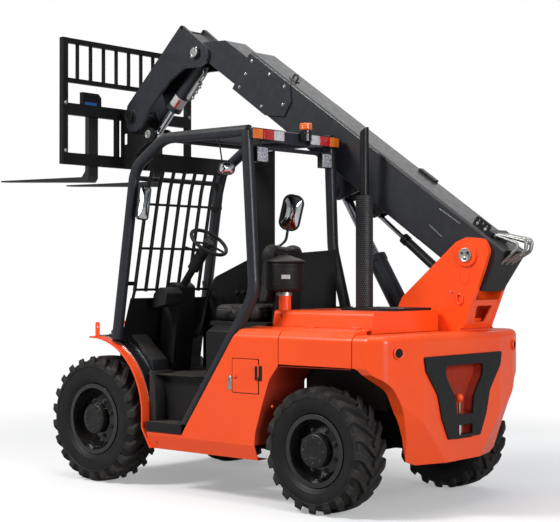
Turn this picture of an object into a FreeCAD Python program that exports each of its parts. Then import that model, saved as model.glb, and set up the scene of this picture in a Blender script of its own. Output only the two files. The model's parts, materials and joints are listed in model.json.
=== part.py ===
"""Rough terrain forklift: a compact side-cab telescopic handler with pallet forks.

Millimetres. +X is forward, +Y is the operator's left, +Z is up and the ground is z = 0.
The machine is drawn with its rear axle at x = 0 and its centreline at y = 0. Each node is
moved at the end, so that the origin lies under the middle of the whole machine.
"""
import FreeCAD, Part
import os
from math import atan2, cos, degrees, hypot, pi, radians, sin, tan

V = FreeCAD.Vector
X_AXIS = V(1, 0, 0)
Y_AXIS = V(0, 1, 0)
Z_AXIS = V(0, 0, 1)

# ---------------------------------------------------------------- driving dimensions
WHEELBASE = 2030.0
TYRE_OUTER_Y = 815.0          # outer side wall of the rear tyres
FRONT_TYRE_OUTER_Y = 800.0
REAR_TYRE_OD = 780.0
REAR_TYRE_W = 264.0
REAR_RIM_D = 449.0
FRONT_TYRE_OD = 884.0
FRONT_TYRE_W = 274.0
FRONT_RIM_D = 497.0
KINGPIN_Y = 520.0
STEER_LIMIT = 30.0            # degrees each way

BODY_HALF_W = 800.0
SHOULDER_Z = 1090.0
HOOD_Z = 1235.0
SKIRT_Z = 288.0
SHEET = 5.0                   # body panels
PLATE = 12.0                  # frame plates
RUNNING_GAP = 5.0             # between pieces that move past each other
PIN_FIT = 0.05                # radial clearance of a shaft in its bore
SEAT_GAP = 0.3                # between pieces of two bodies that rest on each other

RAIL_Y = 335.0                # outer face of the chassis rails
RAIL_BOTTOM_Z = 330.0
DECK_Z = 620.0                # top of the chassis deck
FRAME_REAR_X = -455.0

BOOM_Y = -300.0               # middle of the boom, the lift cylinder and the forks
BOOM_W = 270.0
BOOM_UNDER = 144.0            # pivot axis down to the lower face of the outer boom
BOOM_OVER = 168.0             # pivot axis up to the upper face
BOOM_WALL = 10.0
BOOM_ANGLE = 34.7             # degrees, as it stands
BOOM_PIVOT = V(-500, BOOM_Y, 1588)
BOOM_TAIL = -200.0            # along the boom from its pivot
BOOM_MOUTH = 2400.0
INNER_W = 220.0
INNER_UNDER = 119.0
INNER_OVER = 105.0
INNER_WALL = 10.0
INNER_TAIL = 250.0
EXTENSION = 1300.0
PIVOT_PIN_R = 35.0
EAR_T = 30.0
BOOM_SLOT_LEFT_Y = BOOM_Y + BOOM_W / 2 + 57      # sides of the boom's slot in the bodywork
BOOM_SLOT_RIGHT_Y = BOOM_Y - BOOM_W / 2 - 57

HEAD_PLATE_T = 25.0
TILT_BASE = V(1940, BOOM_Y, 3143)
CARRIAGE_PIVOT = V(2661, BOOM_Y, 2720)
TILT_EYE = V(2500, BOOM_Y, 2566)
LOCK_PIN = V(2790, BOOM_Y, 2691)
LIFT_BASE = V(-180, BOOM_Y, 726)
LIFT_EYE_U = 1193.7           # along the boom
LIFT_EYE_V = -264.7           # below its pivot axis
LEVEL_BASE = V(-300, BOOM_Y, 1390)
LEVEL_EYE_U = 870.0
LEVEL_EYE_V = -230.0
LIFT_LUG_Y = 76.0             # half the gap between the lugs under the boom
LIFT_CLOSING = 483.0          # strokes from the stored pose to fully in
LEVEL_CLOSING = 166.0
TILT_CLOSING = 186.0

CARRIAGE_W = 1400.0
CARRIAGE_X = 2815.0           # rear face of the fork carriage
CARRIAGE_BOTTOM_Z = 2315.0
CARRIAGE_BAR_TOP_Z = 2790.0
BACKREST_TOP_Z = 3294.0
FORK_PITCH = 710.0
FORK_W = 100.0
FORK_T = 40.0
FORK_HEEL_Z = 2190.0
FORK_TIP_X = 4000.0
FORK_RISE = 2.5               # degrees, blades tipped back as it stands

CAB_LEFT_Y = 752.0            # middle of the left canopy tubes
CAB_RIGHT_Y = -100.0
CANOPY_TUBE = 76.0
FLOOR_Z = 780.0
STEP_Z = 468.0
STEP_LOW_Z = 402.0
SEAT_Y = 330.0

HOSE_TAIL_X = -870.0          # rearmost bend of the pipes on the boom
PIVOT_Z_REAR = REAR_TYRE_OD / 2
PIVOT_Z_FRONT = FRONT_TYRE_OD / 2

# whole machine, for the origin
LEFT_SIDE = TYRE_OUTER_Y
RIGHT_SIDE = BOOM_Y - CARRIAGE_W / 2
ORIGIN = V((HOSE_TAIL_X + FORK_TIP_X) / 2, (LEFT_SIDE + RIGHT_SIDE) / 2, 0)

NODES = {}


# ---------------------------------------------------------------- small tools
def box(x0, x1, y0, y1, z0, z1):
    return Part.makeBox(x1 - x0, y1 - y0, z1 - z0, V(x0, y0, z0))


def rod(start, end, radius):
    """A round bar between two points."""
    along = end.sub(start)
    return Part.makeCylinder(radius, along.Length, start, along)


def rod_y(x, z, y0, y1, radius):
    return Part.makeCylinder(radius, y1 - y0, V(x, y0, z), Y_AXIS)


def rod_z(x, y, z0, z1, radius):
    return Part.makeCylinder(radius, z1 - z0, V(x, y, z0), Z_AXIS)


def join(shapes):
    """One solid out of pieces that touch or overlap."""
    whole = shapes[0]
    if len(shapes) > 1:
        whole = whole.multiFuse(list(shapes[1:]))
    return whole.removeSplitter()


def cut(shape, tools):
    for tool in tools:
        shape = shape.cut(tool)
    return shape


def rounded_wire(corners, place):
    """A closed outline. Each corner is (a, b) or (a, b, radius); place(a, b) gives the point."""
    points = [place(c[0], c[1]) for c in corners]
    count = len(corners)
    starts, ends, edges = [], [], []
    arcs = []
    for i in range(count):
        here = points[i]
        radius = corners[i][2] if len(corners[i]) > 2 else 0.0
        back = points[i - 1].sub(here)
        ahead = points[(i + 1) % count].sub(here)
        turn = back.getAngle(ahead)
        if radius <= 0 or abs(pi - turn) < 1e-4:
            starts.append(here)
            ends.append(here)
            arcs.append(None)
            continue
        back.normalize()
        ahead.normalize()
        reach = radius / tan(turn / 2)
        first = here + back * reach
        last = here + ahead * reach
        middle = back + ahead
        middle.normalize()
        centre = here + middle * (radius / sin(turn / 2))
        starts.append(first)
        ends.append(last)
        arcs.append(Part.Arc(first, centre - middle * radius, last).toShape())
    for i in range(count):
        if arcs[i] is not None:
            edges.append(arcs[i])
        nxt = (i + 1) % count
        if ends[i].distanceToPoint(starts[nxt]) > 1e-6:
            edges.append(Part.LineSegment(ends[i], starts[nxt]).toShape())
    return Part.Wire(edges)


def plate_xz(corners, y0, y1):
    """A flat plate seen from the side, between two y."""
    wire = rounded_wire(corners, lambda a, b: V(a, y0, b))
    return Part.Face(wire).extrude(V(0, y1 - y0, 0))


def plate_yz(corners, x0, x1):
    """A flat plate seen from the front, between two x."""
    wire = rounded_wire(corners, lambda a, b: V(x0, a, b))
    return Part.Face(wire).extrude(V(x1 - x0, 0, 0))


def plate_xy(corners, z0, z1):
    """A flat plate seen from above, between two z."""
    wire = rounded_wire(corners, lambda a, b: V(a, b, z0))
    return Part.Face(wire).extrude(V(0, 0, z1 - z0))


def turned_y(profile, x, z):
    """A solid of revolution about a line along Y; the profile is (y, radius) points."""
    points = [V(x, y, z + r) for y, r in profile]
    wire = Part.makePolygon(points + [points[0]])
    return Part.Face(wire).revolve(V(x, 0, z), Y_AXIS, 360)


def mirror_y(shape):
    return shape.mirror(V(0, 0, 0), Y_AXIS)


def bent_tube(points, bends, diameter):
    """A round tube through the points, with one bend radius for each inner point."""
    edges = []
    last = points[0]
    for i in range(1, len(points) - 1):
        back = points[i - 1].sub(points[i])
        ahead = points[i + 1].sub(points[i])
        turn = back.getAngle(ahead)
        back.normalize()
        ahead.normalize()
        reach = bends[i - 1] / tan(turn / 2)
        middle = back + ahead
        middle.normalize()
        centre = points[i] + middle * (bends[i - 1] / sin(turn / 2))
        first = points[i] + back * reach
        edges.append(Part.LineSegment(last, first).toShape())
        last = points[i] + ahead * reach
        edges.append(Part.Arc(first, centre - middle * bends[i - 1], last).toShape())
    edges.append(Part.LineSegment(last, points[-1]).toShape())
    path = Part.Wire(edges)
    along = points[1].sub(points[0])
    ring = Part.Wire([Part.makeCircle(diameter / 2, points[0], along)])
    tube = path.makePipeShell([ring], True, False)
    if tube.Volume < 0:
        tube.reverse()
    return tube


def add(name, shape):
    if isinstance(shape, list):
        shape = Part.makeCompound(shape)
    NODES[name] = shape


# ---------------------------------------------------------------- boom frame of reference
def boom_point(u, v, y=BOOM_Y):
    """A point u along the boom from its pivot and v above its pivot line."""
    a = radians(BOOM_ANGLE)
    return V(BOOM_PIVOT.x + u * cos(a) - v * sin(a), y, BOOM_PIVOT.z + u * sin(a) + v * cos(a))


def on_boom(shape):
    """Stand a shape drawn as (u, y, v) on the boom."""
    turned = shape.copy()
    turned.rotate(V(0, 0, 0), Y_AXIS, -BOOM_ANGLE)
    turned.translate(V(BOOM_PIVOT.x, BOOM_Y, BOOM_PIVOT.z))
    return turned


LIFT_EYE = boom_point(LIFT_EYE_U, LIFT_EYE_V)
LEVEL_EYE = boom_point(LEVEL_EYE_U, LEVEL_EYE_V)


# ---------------------------------------------------------------- wheels, axles, steering
def tyre(x, y, od, width, rim_d):
    """One tyre about an axle at (x, y); a closed ring seated on the rim between its flanges."""
    seat = rim_d / 2 - 22
    bead = width / 2 - 34
    crown = od / 2
    side = width / 2
    flange = rim_d / 2
    ring = [(y - bead, seat), (y + bead, seat), (y + bead, flange), (y + side - 6, flange + 28),
            (y + side, flange + (crown - flange) * 0.45), (y + side - 4, crown - 34),
            (y + side - 22, crown - 12), (y + side * 0.42, crown), (y - side * 0.42, crown),
            (y - side + 22, crown - 12), (y - side + 4, crown - 34),
            (y - side, flange + (crown - flange) * 0.45), (y - side + 6, flange + 28), (y - bead, flange)]
    return turned_y(ring, x, od / 2)


def rim(x, y, od, width, rim_d, outward):
    """One dished rim with its flanges, disc and bolt ring; outward is +1 on the left."""
    seat = rim_d / 2 - 22
    bead = width / 2 - 34
    flange = rim_d / 2
    wall = 8
    s = outward
    barrel = [(y - s * (bead + 12), seat - wall), (y + s * (bead + 12), seat - wall),
              (y + s * (bead + 12), flange), (y + s * bead, flange), (y + s * bead, seat),
              (y - s * bead, seat), (y - s * bead, flange), (y - s * (bead + 12), flange)]
    disc_y = y + s * DISC_OFFSET
    disc = [(disc_y - s * 10, HUB_BORE), (disc_y, HUB_BORE), (disc_y, 112), (disc_y - s * 34, seat - wall),
            (disc_y - s * 46, seat - wall), (disc_y - s * 46, seat - wall - 2), (disc_y - s * 10, 108)]
    body = turned_y(barrel, x, od / 2).fuse(turned_y(disc, x, od / 2))
    nuts = [Part.makeCylinder(11, 14, V(x + 90 * cos(a), disc_y, od / 2 + 90 * sin(a)), V(0, s, 0))
            for a in [2 * pi * i / 8 for i in range(8)]]
    return join([body] + nuts)


DISC_OFFSET = 62.0            # wheel disc outwards of the rim's middle
HUB_BORE = 66.0
REAR_WHEEL_Y = TYRE_OUTER_Y - REAR_TYRE_W / 2
FRONT_WHEEL_Y = FRONT_TYRE_OUTER_Y - FRONT_TYRE_W / 2
SPINDLE_R = 28.0


def hub(x, y, z, outward):
    """The turning hub: a flange behind the wheel disc and a nose through its bore."""
    s = outward
    disc_y = y + s * DISC_OFFSET
    bore = SPINDLE_R + PIN_FIT
    profile = [(disc_y - s * 80, bore), (disc_y + s * 22, bore), (disc_y + s * 22, 0), (disc_y + s * 44, 0),
               (disc_y + s * 44, 34), (disc_y + s * 30, HUB_BORE), (disc_y - s * 10, HUB_BORE),
               (disc_y - s * 10, 104), (disc_y - s * 24, 104), (disc_y - s * 24, 60), (disc_y - s * 80, 60)]
    return turned_y(profile, x, z)


def wheels():
    for side, s in (("left", 1), ("right", -1)):
        y = s * REAR_WHEEL_Y
        add("rear_tyre_" + side, tyre(0, y, REAR_TYRE_OD, REAR_TYRE_W, REAR_RIM_D))
        wheel = rim(0, y, REAR_TYRE_OD, REAR_TYRE_W, REAR_RIM_D, s)
        add("rear_rim_" + side, join([wheel, hub(0, y, PIVOT_Z_REAR, s)]))
        y = s * FRONT_WHEEL_Y
        add("front_tyre_" + side, tyre(WHEELBASE, y, FRONT_TYRE_OD, FRONT_TYRE_W, FRONT_RIM_D))
        wheel = rim(WHEELBASE, y, FRONT_TYRE_OD, FRONT_TYRE_W, FRONT_RIM_D, s)
        add("front_rim_" + side, join([wheel, hub(WHEELBASE, y, PIVOT_Z_FRONT, s)]))


YOKE_HALF_GAP = 62.0          # half the height of a knuckle between the yoke arms
YOKE_ARM_T = 24.0
KINGPIN_R = 20.0


def knuckle(s):
    """Steering knuckle: kingpin boss, spindle and steering arm."""
    y = s * KINGPIN_Y
    z = PIVOT_Z_REAR
    boss = rod_z(0, y, z - YOKE_HALF_GAP + SEAT_GAP, z + YOKE_HALF_GAP - SEAT_GAP, 46)
    bore = rod_z(0, y, z - 100, z + 100, KINGPIN_R + PIN_FIT)
    end = REAR_WHEEL_Y + DISC_OFFSET + 20
    spindle = rod(V(0, y + s * 30, z), V(0, s * end, z), SPINDLE_R)
    shoulder = rod(V(0, y + s * 30, z), V(0, s * (REAR_WHEEL_Y + DISC_OFFSET - 84), z), 52)
    arm = [(20, -20), (-30, -24), (-190, -36, 16), (-190, 4, 16), (-30, 12), (20, 12)]
    arm = plate_xy([(c[0], y + s * c[1]) + c[2:] for c in arm], z - 14, z + 14)
    return join([boss, spindle, shoulder, arm]).cut(bore)


def rear_axle():
    z = PIVOT_Z_REAR
    beam = box(-48, 48, -KINGPIN_Y + 66, KINGPIN_Y - 66, z - 52, z + 52)
    ends = []
    for s in (1, -1):
        lo, hi = sorted((s * (KINGPIN_Y - 82), s * (KINGPIN_Y - 56)))
        ends.append(box(-34, 34, lo, hi, z - YOKE_HALF_GAP - YOKE_ARM_T, z + YOKE_HALF_GAP + YOKE_ARM_T))
        for z0 in (z - YOKE_HALF_GAP - YOKE_ARM_T, z + YOKE_HALF_GAP):
            lo, hi = sorted((s * (KINGPIN_Y - 60), s * KINGPIN_Y))
            ends.append(box(-48, 48, lo, hi, z0, z0 + YOKE_ARM_T))
            ends.append(rod_z(0, s * KINGPIN_Y, z0, z0 + YOKE_ARM_T, 48))
        ends.append(rod_z(0, s * KINGPIN_Y, z - YOKE_HALF_GAP - YOKE_ARM_T, z + YOKE_HALF_GAP + YOKE_ARM_T,
                          KINGPIN_R))
    cradle = box(-90, 90, -120, 120, z - 30, z + 70)
    cylinder = rod(V(-110, -170, z), V(-110, 170, z), 36)
    piston = rod(V(-110, -330, z), V(-110, 330, z), 16)
    return join([beam, cradle, cylinder, piston] + ends)


def front_axle():
    z = PIVOT_Z_FRONT
    x = WHEELBASE
    end = FRONT_WHEEL_Y + DISC_OFFSET - 84
    beam = rod(V(x, -end, z), V(x, end, z), 56)
    housing = turned_y([(-120, 60), (-90, 120), (-40, 152), (40, 152), (90, 120), (120, 60), (120, 0), (-120, 0)], x, z)
    nose = rod(V(x - 60, 0, z), V(x - 240, 0, z), 62)
    pads = [box(x - 70, x + 70, s * 290 - 45, s * 290 + 45, z - 66, z + 88) for s in (1, -1)]
    spindles = [rod(V(x, s * (end - 5), z), V(x, s * (FRONT_WHEEL_Y + DISC_OFFSET + 20), z), SPINDLE_R)
                for s in (1, -1)]
    return join([beam, housing, nose] + pads + spindles)


# ---------------------------------------------------------------- chassis
def chassis():
    """Two rails under a deck, with cross plates, axle seats and the lift cylinder's lugs."""
    front = WHEELBASE + 330
    rear_seat_z = PIVOT_Z_REAR + 70
    front_seat_z = PIVOT_Z_FRONT + 88
    rail_outline = [(FRAME_REAR_X, RAIL_BOTTOM_Z + 60, 20), (-210, RAIL_BOTTOM_Z + 60, 40), (-190, rear_seat_z, 10),
                    (190, rear_seat_z, 10), (230, RAIL_BOTTOM_Z, 40), (WHEELBASE - 300, RAIL_BOTTOM_Z, 60),
                    (WHEELBASE - 190, front_seat_z, 30), (WHEELBASE + 170, front_seat_z, 30),
                    (WHEELBASE + 230, RAIL_BOTTOM_Z + 60, 30), (front, RAIL_BOTTOM_Z + 90, 20),
                    (front, DECK_Z - PLATE), (FRAME_REAR_X, DECK_Z - PLATE)]
    rails = []
    for s in (1, -1):
        lo, hi = sorted((s * (RAIL_Y - PLATE), s * RAIL_Y))
        rails.append(plate_xz(rail_outline, lo, hi))
    deck = plate_xy([(FRAME_REAR_X, -360, 10), (486, -360, 10), (486, -470, 20), (WHEELBASE - 520, -470, 20),
                     (WHEELBASE - 470, -360, 20), (front, -360, 10), (front, 360, 10),
                     (WHEELBASE - 470, 360, 20), (WHEELBASE - 520, 470, 20), (486, 470, 20), (486, 360, 10),
                     (FRAME_REAR_X, 360, 10)], DECK_Z - PLATE, DECK_Z)
    cross = [box(x, x + PLATE, -RAIL_Y + 4, RAIL_Y - 4, RAIL_BOTTOM_Z + 80, DECK_Z - 4)
             for x in (FRAME_REAR_X, 420, 1500, front - PLATE)]
    seats = [box(-90, 90, -120, 120, rear_seat_z, DECK_Z - 4), box(-90, 90, -RAIL_Y + 4, RAIL_Y - 4, rear_seat_z, rear_seat_z + PLATE)]
    for s in (1, -1):
        seats.append(box(WHEELBASE - 70, WHEELBASE + 70, s * 290 - 45, s * 290 + 45, front_seat_z, DECK_Z - 4))
    lugs = []
    for s in (1, -1):
        lo, hi = sorted((BOOM_Y + s * 41, BOOM_Y + s * 59))
        lugs.append(plate_xz([(LIFT_BASE.x - 90, DECK_Z - 4), (LIFT_BASE.x + 110, DECK_Z - 4, 0),
                              (LIFT_BASE.x + 56, LIFT_BASE.z + 50, 40), (LIFT_BASE.x - 50, LIFT_BASE.z + 50, 40)],
                             lo, hi))
    pin = rod_y(LIFT_BASE.x, LIFT_BASE.z, BOOM_Y - 59, BOOM_Y + 59, 25)
    sills = [box(484, 1400, s * 600 - 30, s * 600 + 30, 340, 400) for s in (1, -1)]
    outriggers = [box(x, x + PLATE, s * 330 if s > 0 else -640, 640 if s > 0 else -330, 340, DECK_Z - 40)
                  for s in (1, -1) for x in (520, 1380)]
    return join([deck] + rails + cross + seats + lugs + [pin] + sills + outriggers)


# ---------------------------------------------------------------- boom bracket
def boom_bracket():
    """Two tall ears that carry the boom's pivot, on a stem that stands on the deck."""
    ear = [(-474, 1120, 20), (-560, 1330, 40), (-631, 1504, 60), (-668, 1617, 55), (-631, 1690, 45), (-500, 1702, 70),
           (-420, 1672, 60), (-299, 1570, 60), (3, 1315, 50), (43, 1235, 30), (43, 1120, 10)]
    low_near = [(-450, 1130), (-450, DECK_Z), (60, DECK_Z), (30, 1130)]
    low_far = [(-450, 1130), (-450, 824), (60, 824), (30, 1130)]
    half = BOOM_W / 2 + RUNNING_GAP
    pieces = []
    for s, low in ((1, low_near), (-1, low_far)):
        lo, hi = sorted((BOOM_Y + s * half, BOOM_Y + s * (half + EAR_T)))
        pieces.append(plate_xz(ear, lo, hi))
        pieces.append(plate_xz(low, lo, hi))
        pieces.append(rod_y(BOOM_PIVOT.x, BOOM_PIVOT.z, *sorted((BOOM_Y + s * half, BOOM_Y + s * (half + EAR_T + 14))), 74))
    near = BOOM_Y + half + EAR_T
    far = BOOM_Y - half - EAR_T
    pieces.append(box(-450, -438, far, near, 824, 1180))
    pieces.append(box(-450, -300, far, near, 812, 824))
    pieces.append(box(-450, -330, -352, -340, DECK_Z, 812))
    pieces.append(box(-450, -438, -352, near, DECK_Z, 824))
    rear = plate_yz([(far + 4, 1115), (near - 4, 1115), (near - 4, 1315), (far + 4, 1315)], 0, 12)
    hole = plate_yz([(BOOM_Y - 60, 1160, 15), (BOOM_Y + 60, 1160, 15), (BOOM_Y + 95, 1275, 15),
                     (BOOM_Y - 95, 1275, 15)], -30, 30)
    rear = rear.cut(hole)
    rear.rotate(V(0, 0, 1115), Y_AXIS, -degrees(atan2(86, 210)))
    rear.translate(V(-468, 0, 0))
    pieces.append(rear)
    lugs = []
    for s in (1, -1):
        lo, hi = sorted((BOOM_Y + s * 33, BOOM_Y + s * (half + 2)))
        lugs.append(rod_y(LEVEL_BASE.x, LEVEL_BASE.z, lo, hi, 34))
    pieces.append(rod_y(LEVEL_BASE.x, LEVEL_BASE.z, BOOM_Y - 60, BOOM_Y + 60, 17))
    whole = join(pieces + lugs)
    bore = rod_y(BOOM_PIVOT.x, BOOM_PIVOT.z, far - 50, near + 50, PIVOT_PIN_R + PIN_FIT)
    return whole.cut(bore)


# ---------------------------------------------------------------- boom
def square_tube(u0, u1, half_w, v0, v1, wall, radius):
    """A box section along the boom, drawn as (u, y, v)."""
    outer = plate_yz([(-half_w, v0, radius), (half_w, v0, radius), (half_w, v1, radius), (-half_w, v1, radius)], u0, u1)
    w = wall
    inner = plate_yz([(-half_w + w, v0 + w, radius - w / 2), (half_w - w, v0 + w, radius - w / 2),
                      (half_w - w, v1 - w, radius - w / 2), (-half_w + w, v1 - w, radius - w / 2)],
                     u0 - 10, u1 + 10)
    return outer.cut(inner)


def outer_boom():
    half = BOOM_W / 2
    tube = square_tube(BOOM_TAIL, BOOM_MOUTH, half, -BOOM_UNDER, BOOM_OVER, BOOM_WALL, 16)
    tail = box(BOOM_TAIL, BOOM_TAIL + 10, -half + 4, half - 4, -BOOM_UNDER + 4, BOOM_OVER - 4)
    boss = rod_y(0, 0, -half, half, 66)
    pin = rod_y(0, 0, -half - RUNNING_GAP - EAR_T - 20, half + RUNNING_GAP + EAR_T + 20, PIVOT_PIN_R)
    pieces = [tube, tail, boss, pin]
    for s in (1, -1):
        lo, hi = sorted((s * half, s * (half + 12)))
        collar = [(1850, -60, 10), (2010, -BOOM_UNDER, 10), (BOOM_MOUTH, -BOOM_UNDER, 0), (BOOM_MOUTH, BOOM_OVER - 12, 20),
                  (1930, BOOM_OVER - 12, 20), (1850, 60, 20)]
        pieces.append(plate_xz(collar, lo, hi))
        lo, hi = sorted((s * LIFT_LUG_Y, s * (LIFT_LUG_Y + 18)))
        eye = [(LIFT_EYE_U - 190, -BOOM_UNDER + 2), (LIFT_EYE_U + 190, -BOOM_UNDER + 2),
               (LIFT_EYE_U + 60, LIFT_EYE_V - 50, 50), (LIFT_EYE_U - 60, LIFT_EYE_V - 50, 50)]
        pieces.append(plate_xz(eye, lo, hi))
        lo, hi = sorted((s * 33, s * 47))
        eye = [(LEVEL_EYE_U - 110, -BOOM_UNDER + 2), (LEVEL_EYE_U + 90, -BOOM_UNDER + 2),
               (LEVEL_EYE_U + 36, LEVEL_EYE_V - 34, 32), (LEVEL_EYE_U - 36, LEVEL_EYE_V - 34, 32)]
        pieces.append(plate_xz(eye, lo, hi))
        pieces.append(rod_y(LIFT_EYE_U, LIFT_EYE_V, *sorted((s * (LIFT_LUG_Y + 18), s * (LIFT_LUG_Y + 30))), 38))
        pieces.append(rod_y(LEVEL_EYE_U, LEVEL_EYE_V, *sorted((s * 47, s * 56)), 22))
    pad = 0.5
    inner = INNER_W / 2
    for u in (BOOM_MOUTH - 90,):
        for s in (1, -1):
            lo, hi = sorted((s * (inner + pad), s * (half - 6)))
            pieces.append(box(u, u + 80, lo, hi, -70, 60))
        pieces.append(box(u, u + 80, -80, 80, -BOOM_UNDER + 6, -INNER_UNDER - pad))
        pieces.append(box(u, u + 80, -80, 80, INNER_OVER + pad, BOOM_OVER - 6))
    return on_boom(join(pieces))


def inner_boom():
    half = INNER_W / 2
    side = [(INNER_TAIL, -INNER_UNDER), (2790, -INNER_UNDER), (2812, -50, 20), (2900, -22), (2700, INNER_OVER, 40),
            (INNER_TAIL, INNER_OVER)]
    solid = plate_xz(side, -half, half)
    w = INNER_WALL
    bore = box(INNER_TAIL - 10, 2680, -half + w, half - w, -INNER_UNDER + w, INNER_OVER - w)
    return on_boom(solid.cut(bore))


def head_outline():
    return [(2101, 3379, 22), (1898, 3226, 30), (1814, 3150, 60), (1822, 3068, 60), (1930, 3034, 60), (2070, 3037, 60),
            (2221, 2964, 200), (2331, 2873, 0), (2443, 2773, 200), (2523, 2650, 60), (2600, 2590, 50), (2700, 2600, 60),
            (2722, 2692, 60), (2707, 2803, 40)]


def boom_head():
    """Two long cranked plates that hang the fork carriage, with their cross pieces."""
    half = INNER_W / 2
    pieces = []
    for s in (1, -1):
        lo, hi = sorted((BOOM_Y + s * half, BOOM_Y + s * (half + HEAD_PLATE_T)))
        plate = plate_xz(head_outline(), lo, hi)
        plate = plate.cut(rod_y(2096, 3348, lo - 5, hi + 5, 13))
        pieces.append(plate)
        lo, hi = sorted((BOOM_Y + s * 42, BOOM_Y + s * (half + 2)))
        pieces.append(rod_y(TILT_BASE.x, TILT_BASE.z, lo, hi, 56))
        lo, hi = sorted((BOOM_Y + s * (half + 20), BOOM_Y + s * (half + HEAD_PLATE_T + 10)))
        pieces.append(rod_y(CARRIAGE_PIVOT.x, CARRIAGE_PIVOT.z, lo, hi, 52))
    pieces.append(rod_y(TILT_BASE.x, TILT_BASE.z, BOOM_Y - half - HEAD_PLATE_T - 8, BOOM_Y + half + HEAD_PLATE_T + 8, 27))
    pieces.append(rod_y(CARRIAGE_PIVOT.x, CARRIAGE_PIVOT.z, BOOM_Y - half - HEAD_PLATE_T - 4,
                        BOOM_Y + half + HEAD_PLATE_T + 4, 28))
    front = plate_xz([(2108, 3345), (2560, 2915), (2552, 2906), (2100, 3336)], BOOM_Y - half - 2, BOOM_Y + half + 2)
    top = plate_xz([(1850, 3160), (2060, 3318), (2067, 3308), (1857, 3150)], BOOM_Y - half - 2, BOOM_Y + half + 2)
    pieces += [front, top]
    return join(pieces)


def boom_pipes():
    """The bundle of hydraulic pipes that turns round the tail of the boom."""
    count = 5
    pitch = 34
    bundle = pitch * (count - 1)
    block = box(-80, -20, -bundle / 2 - 20, bundle / 2 + 20, BOOM_OVER, BOOM_OVER + 28)
    shapes = [on_boom(block)]
    radius = 7
    for i in range(count):
        y = BOOM_Y - bundle / 2 + pitch * i
        route = [boom_point(-40, BOOM_OVER + 14, y), V(HOSE_TAIL_X + radius, y, 1700), V(HOSE_TAIL_X + radius, y, 1600),
                 boom_point(BOOM_TAIL + 20, 90, y)]
        shapes.append(bent_tube(route, [30, 30], 2 * radius))
    envelope = on_boom(box(BOOM_TAIL, 500, -BOOM_W / 2, BOOM_W / 2, -BOOM_UNDER, BOOM_OVER))
    return join(shapes).cut(envelope)


# ---------------------------------------------------------------- cylinders
def along_axis(start, end, profile):
    """A solid of revolution from start towards end; profile is (distance, radius)."""
    points = [V(r, 0, d) for d, r in profile]
    wire = Part.makePolygon(points + [points[0]])
    solid = Part.Face(wire).revolve(V(0, 0, 0), Z_AXIS, 360)
    solid.Placement = FreeCAD.Placement(start, FreeCAD.Rotation(Z_AXIS, end.sub(start)))
    return solid


def cylinder_pair(base, eye, barrel_r, barrel_len, neck, rod_r, closing, base_half, pin_r, eye_half, eye_r):
    """Barrel with its base eye and gland, and the rod with its piston and its eye at the far end.

    neck is the length beside the base lugs that stays slim; closing is the stroke from the
    stored pose to fully in, which is left free behind the piston.
    """
    wall = 9
    gland = 44
    bore = rod_r + PIN_FIT
    slim = barrel_r / 2
    bottom = neck + slim
    inside = barrel_r - wall
    barrel = along_axis(base, eye, [(0, 0), (0, slim), (neck, slim), (neck + slim * 0.6, barrel_r),
                                    (barrel_len - gland + 4, barrel_r), (barrel_len - gland + 4, barrel_r + 6),
                                    (barrel_len, barrel_r + 6), (barrel_len, bore), (barrel_len - gland, bore),
                                    (barrel_len - gland, inside), (bottom, inside), (bottom, 0)])
    boss = rod_y(base.x, base.z, base.y - base_half, base.y + base_half, barrel_r * 0.72)
    barrel = join([barrel, boss]).cut(rod_y(base.x, base.z, base.y - 200, base.y + 200, pin_r + PIN_FIT))
    tail = bottom + closing + RUNNING_GAP
    piston = 30
    rod_end = eye.sub(base).Length - eye_r / 2
    ram = along_axis(base, eye, [(tail, 0), (tail, inside - 1), (tail + piston, inside - 1), (tail + piston, rod_r),
                                 (rod_end, rod_r), (rod_end, 0)])
    ram = join([ram, rod_y(eye.x, eye.z, eye.y - eye_half, eye.y + eye_half, eye_r)])
    ram = ram.cut(rod_y(eye.x, eye.z, eye.y - 200, eye.y + 200, eye_r / 2))
    return barrel, ram


def cylinders():
    barrel, ram = cylinder_pair(LIFT_BASE, LIFT_EYE, 65, 1005, 75, 34, LIFT_CLOSING, 35, 25, LIFT_LUG_Y - RUNNING_GAP, 45)
    add("lift_cylinder_barrel", barrel)
    add("lift_cylinder_rod", ram)
    barrel, ram = cylinder_pair(LEVEL_BASE, LEVEL_EYE, 31, 520, 44, 16, LEVEL_CLOSING, 27, 17, 27, 24)
    add("levelling_cylinder_barrel", barrel)
    add("levelling_cylinder_rod", ram)
    barrel, ram = cylinder_pair(TILT_BASE, TILT_EYE, 55, 540, 63, 26, TILT_CLOSING, 35, 27, 35, 38)
    add("tilt_cylinder_barrel", barrel)
    add("tilt_cylinder_rod", ram)


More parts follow.
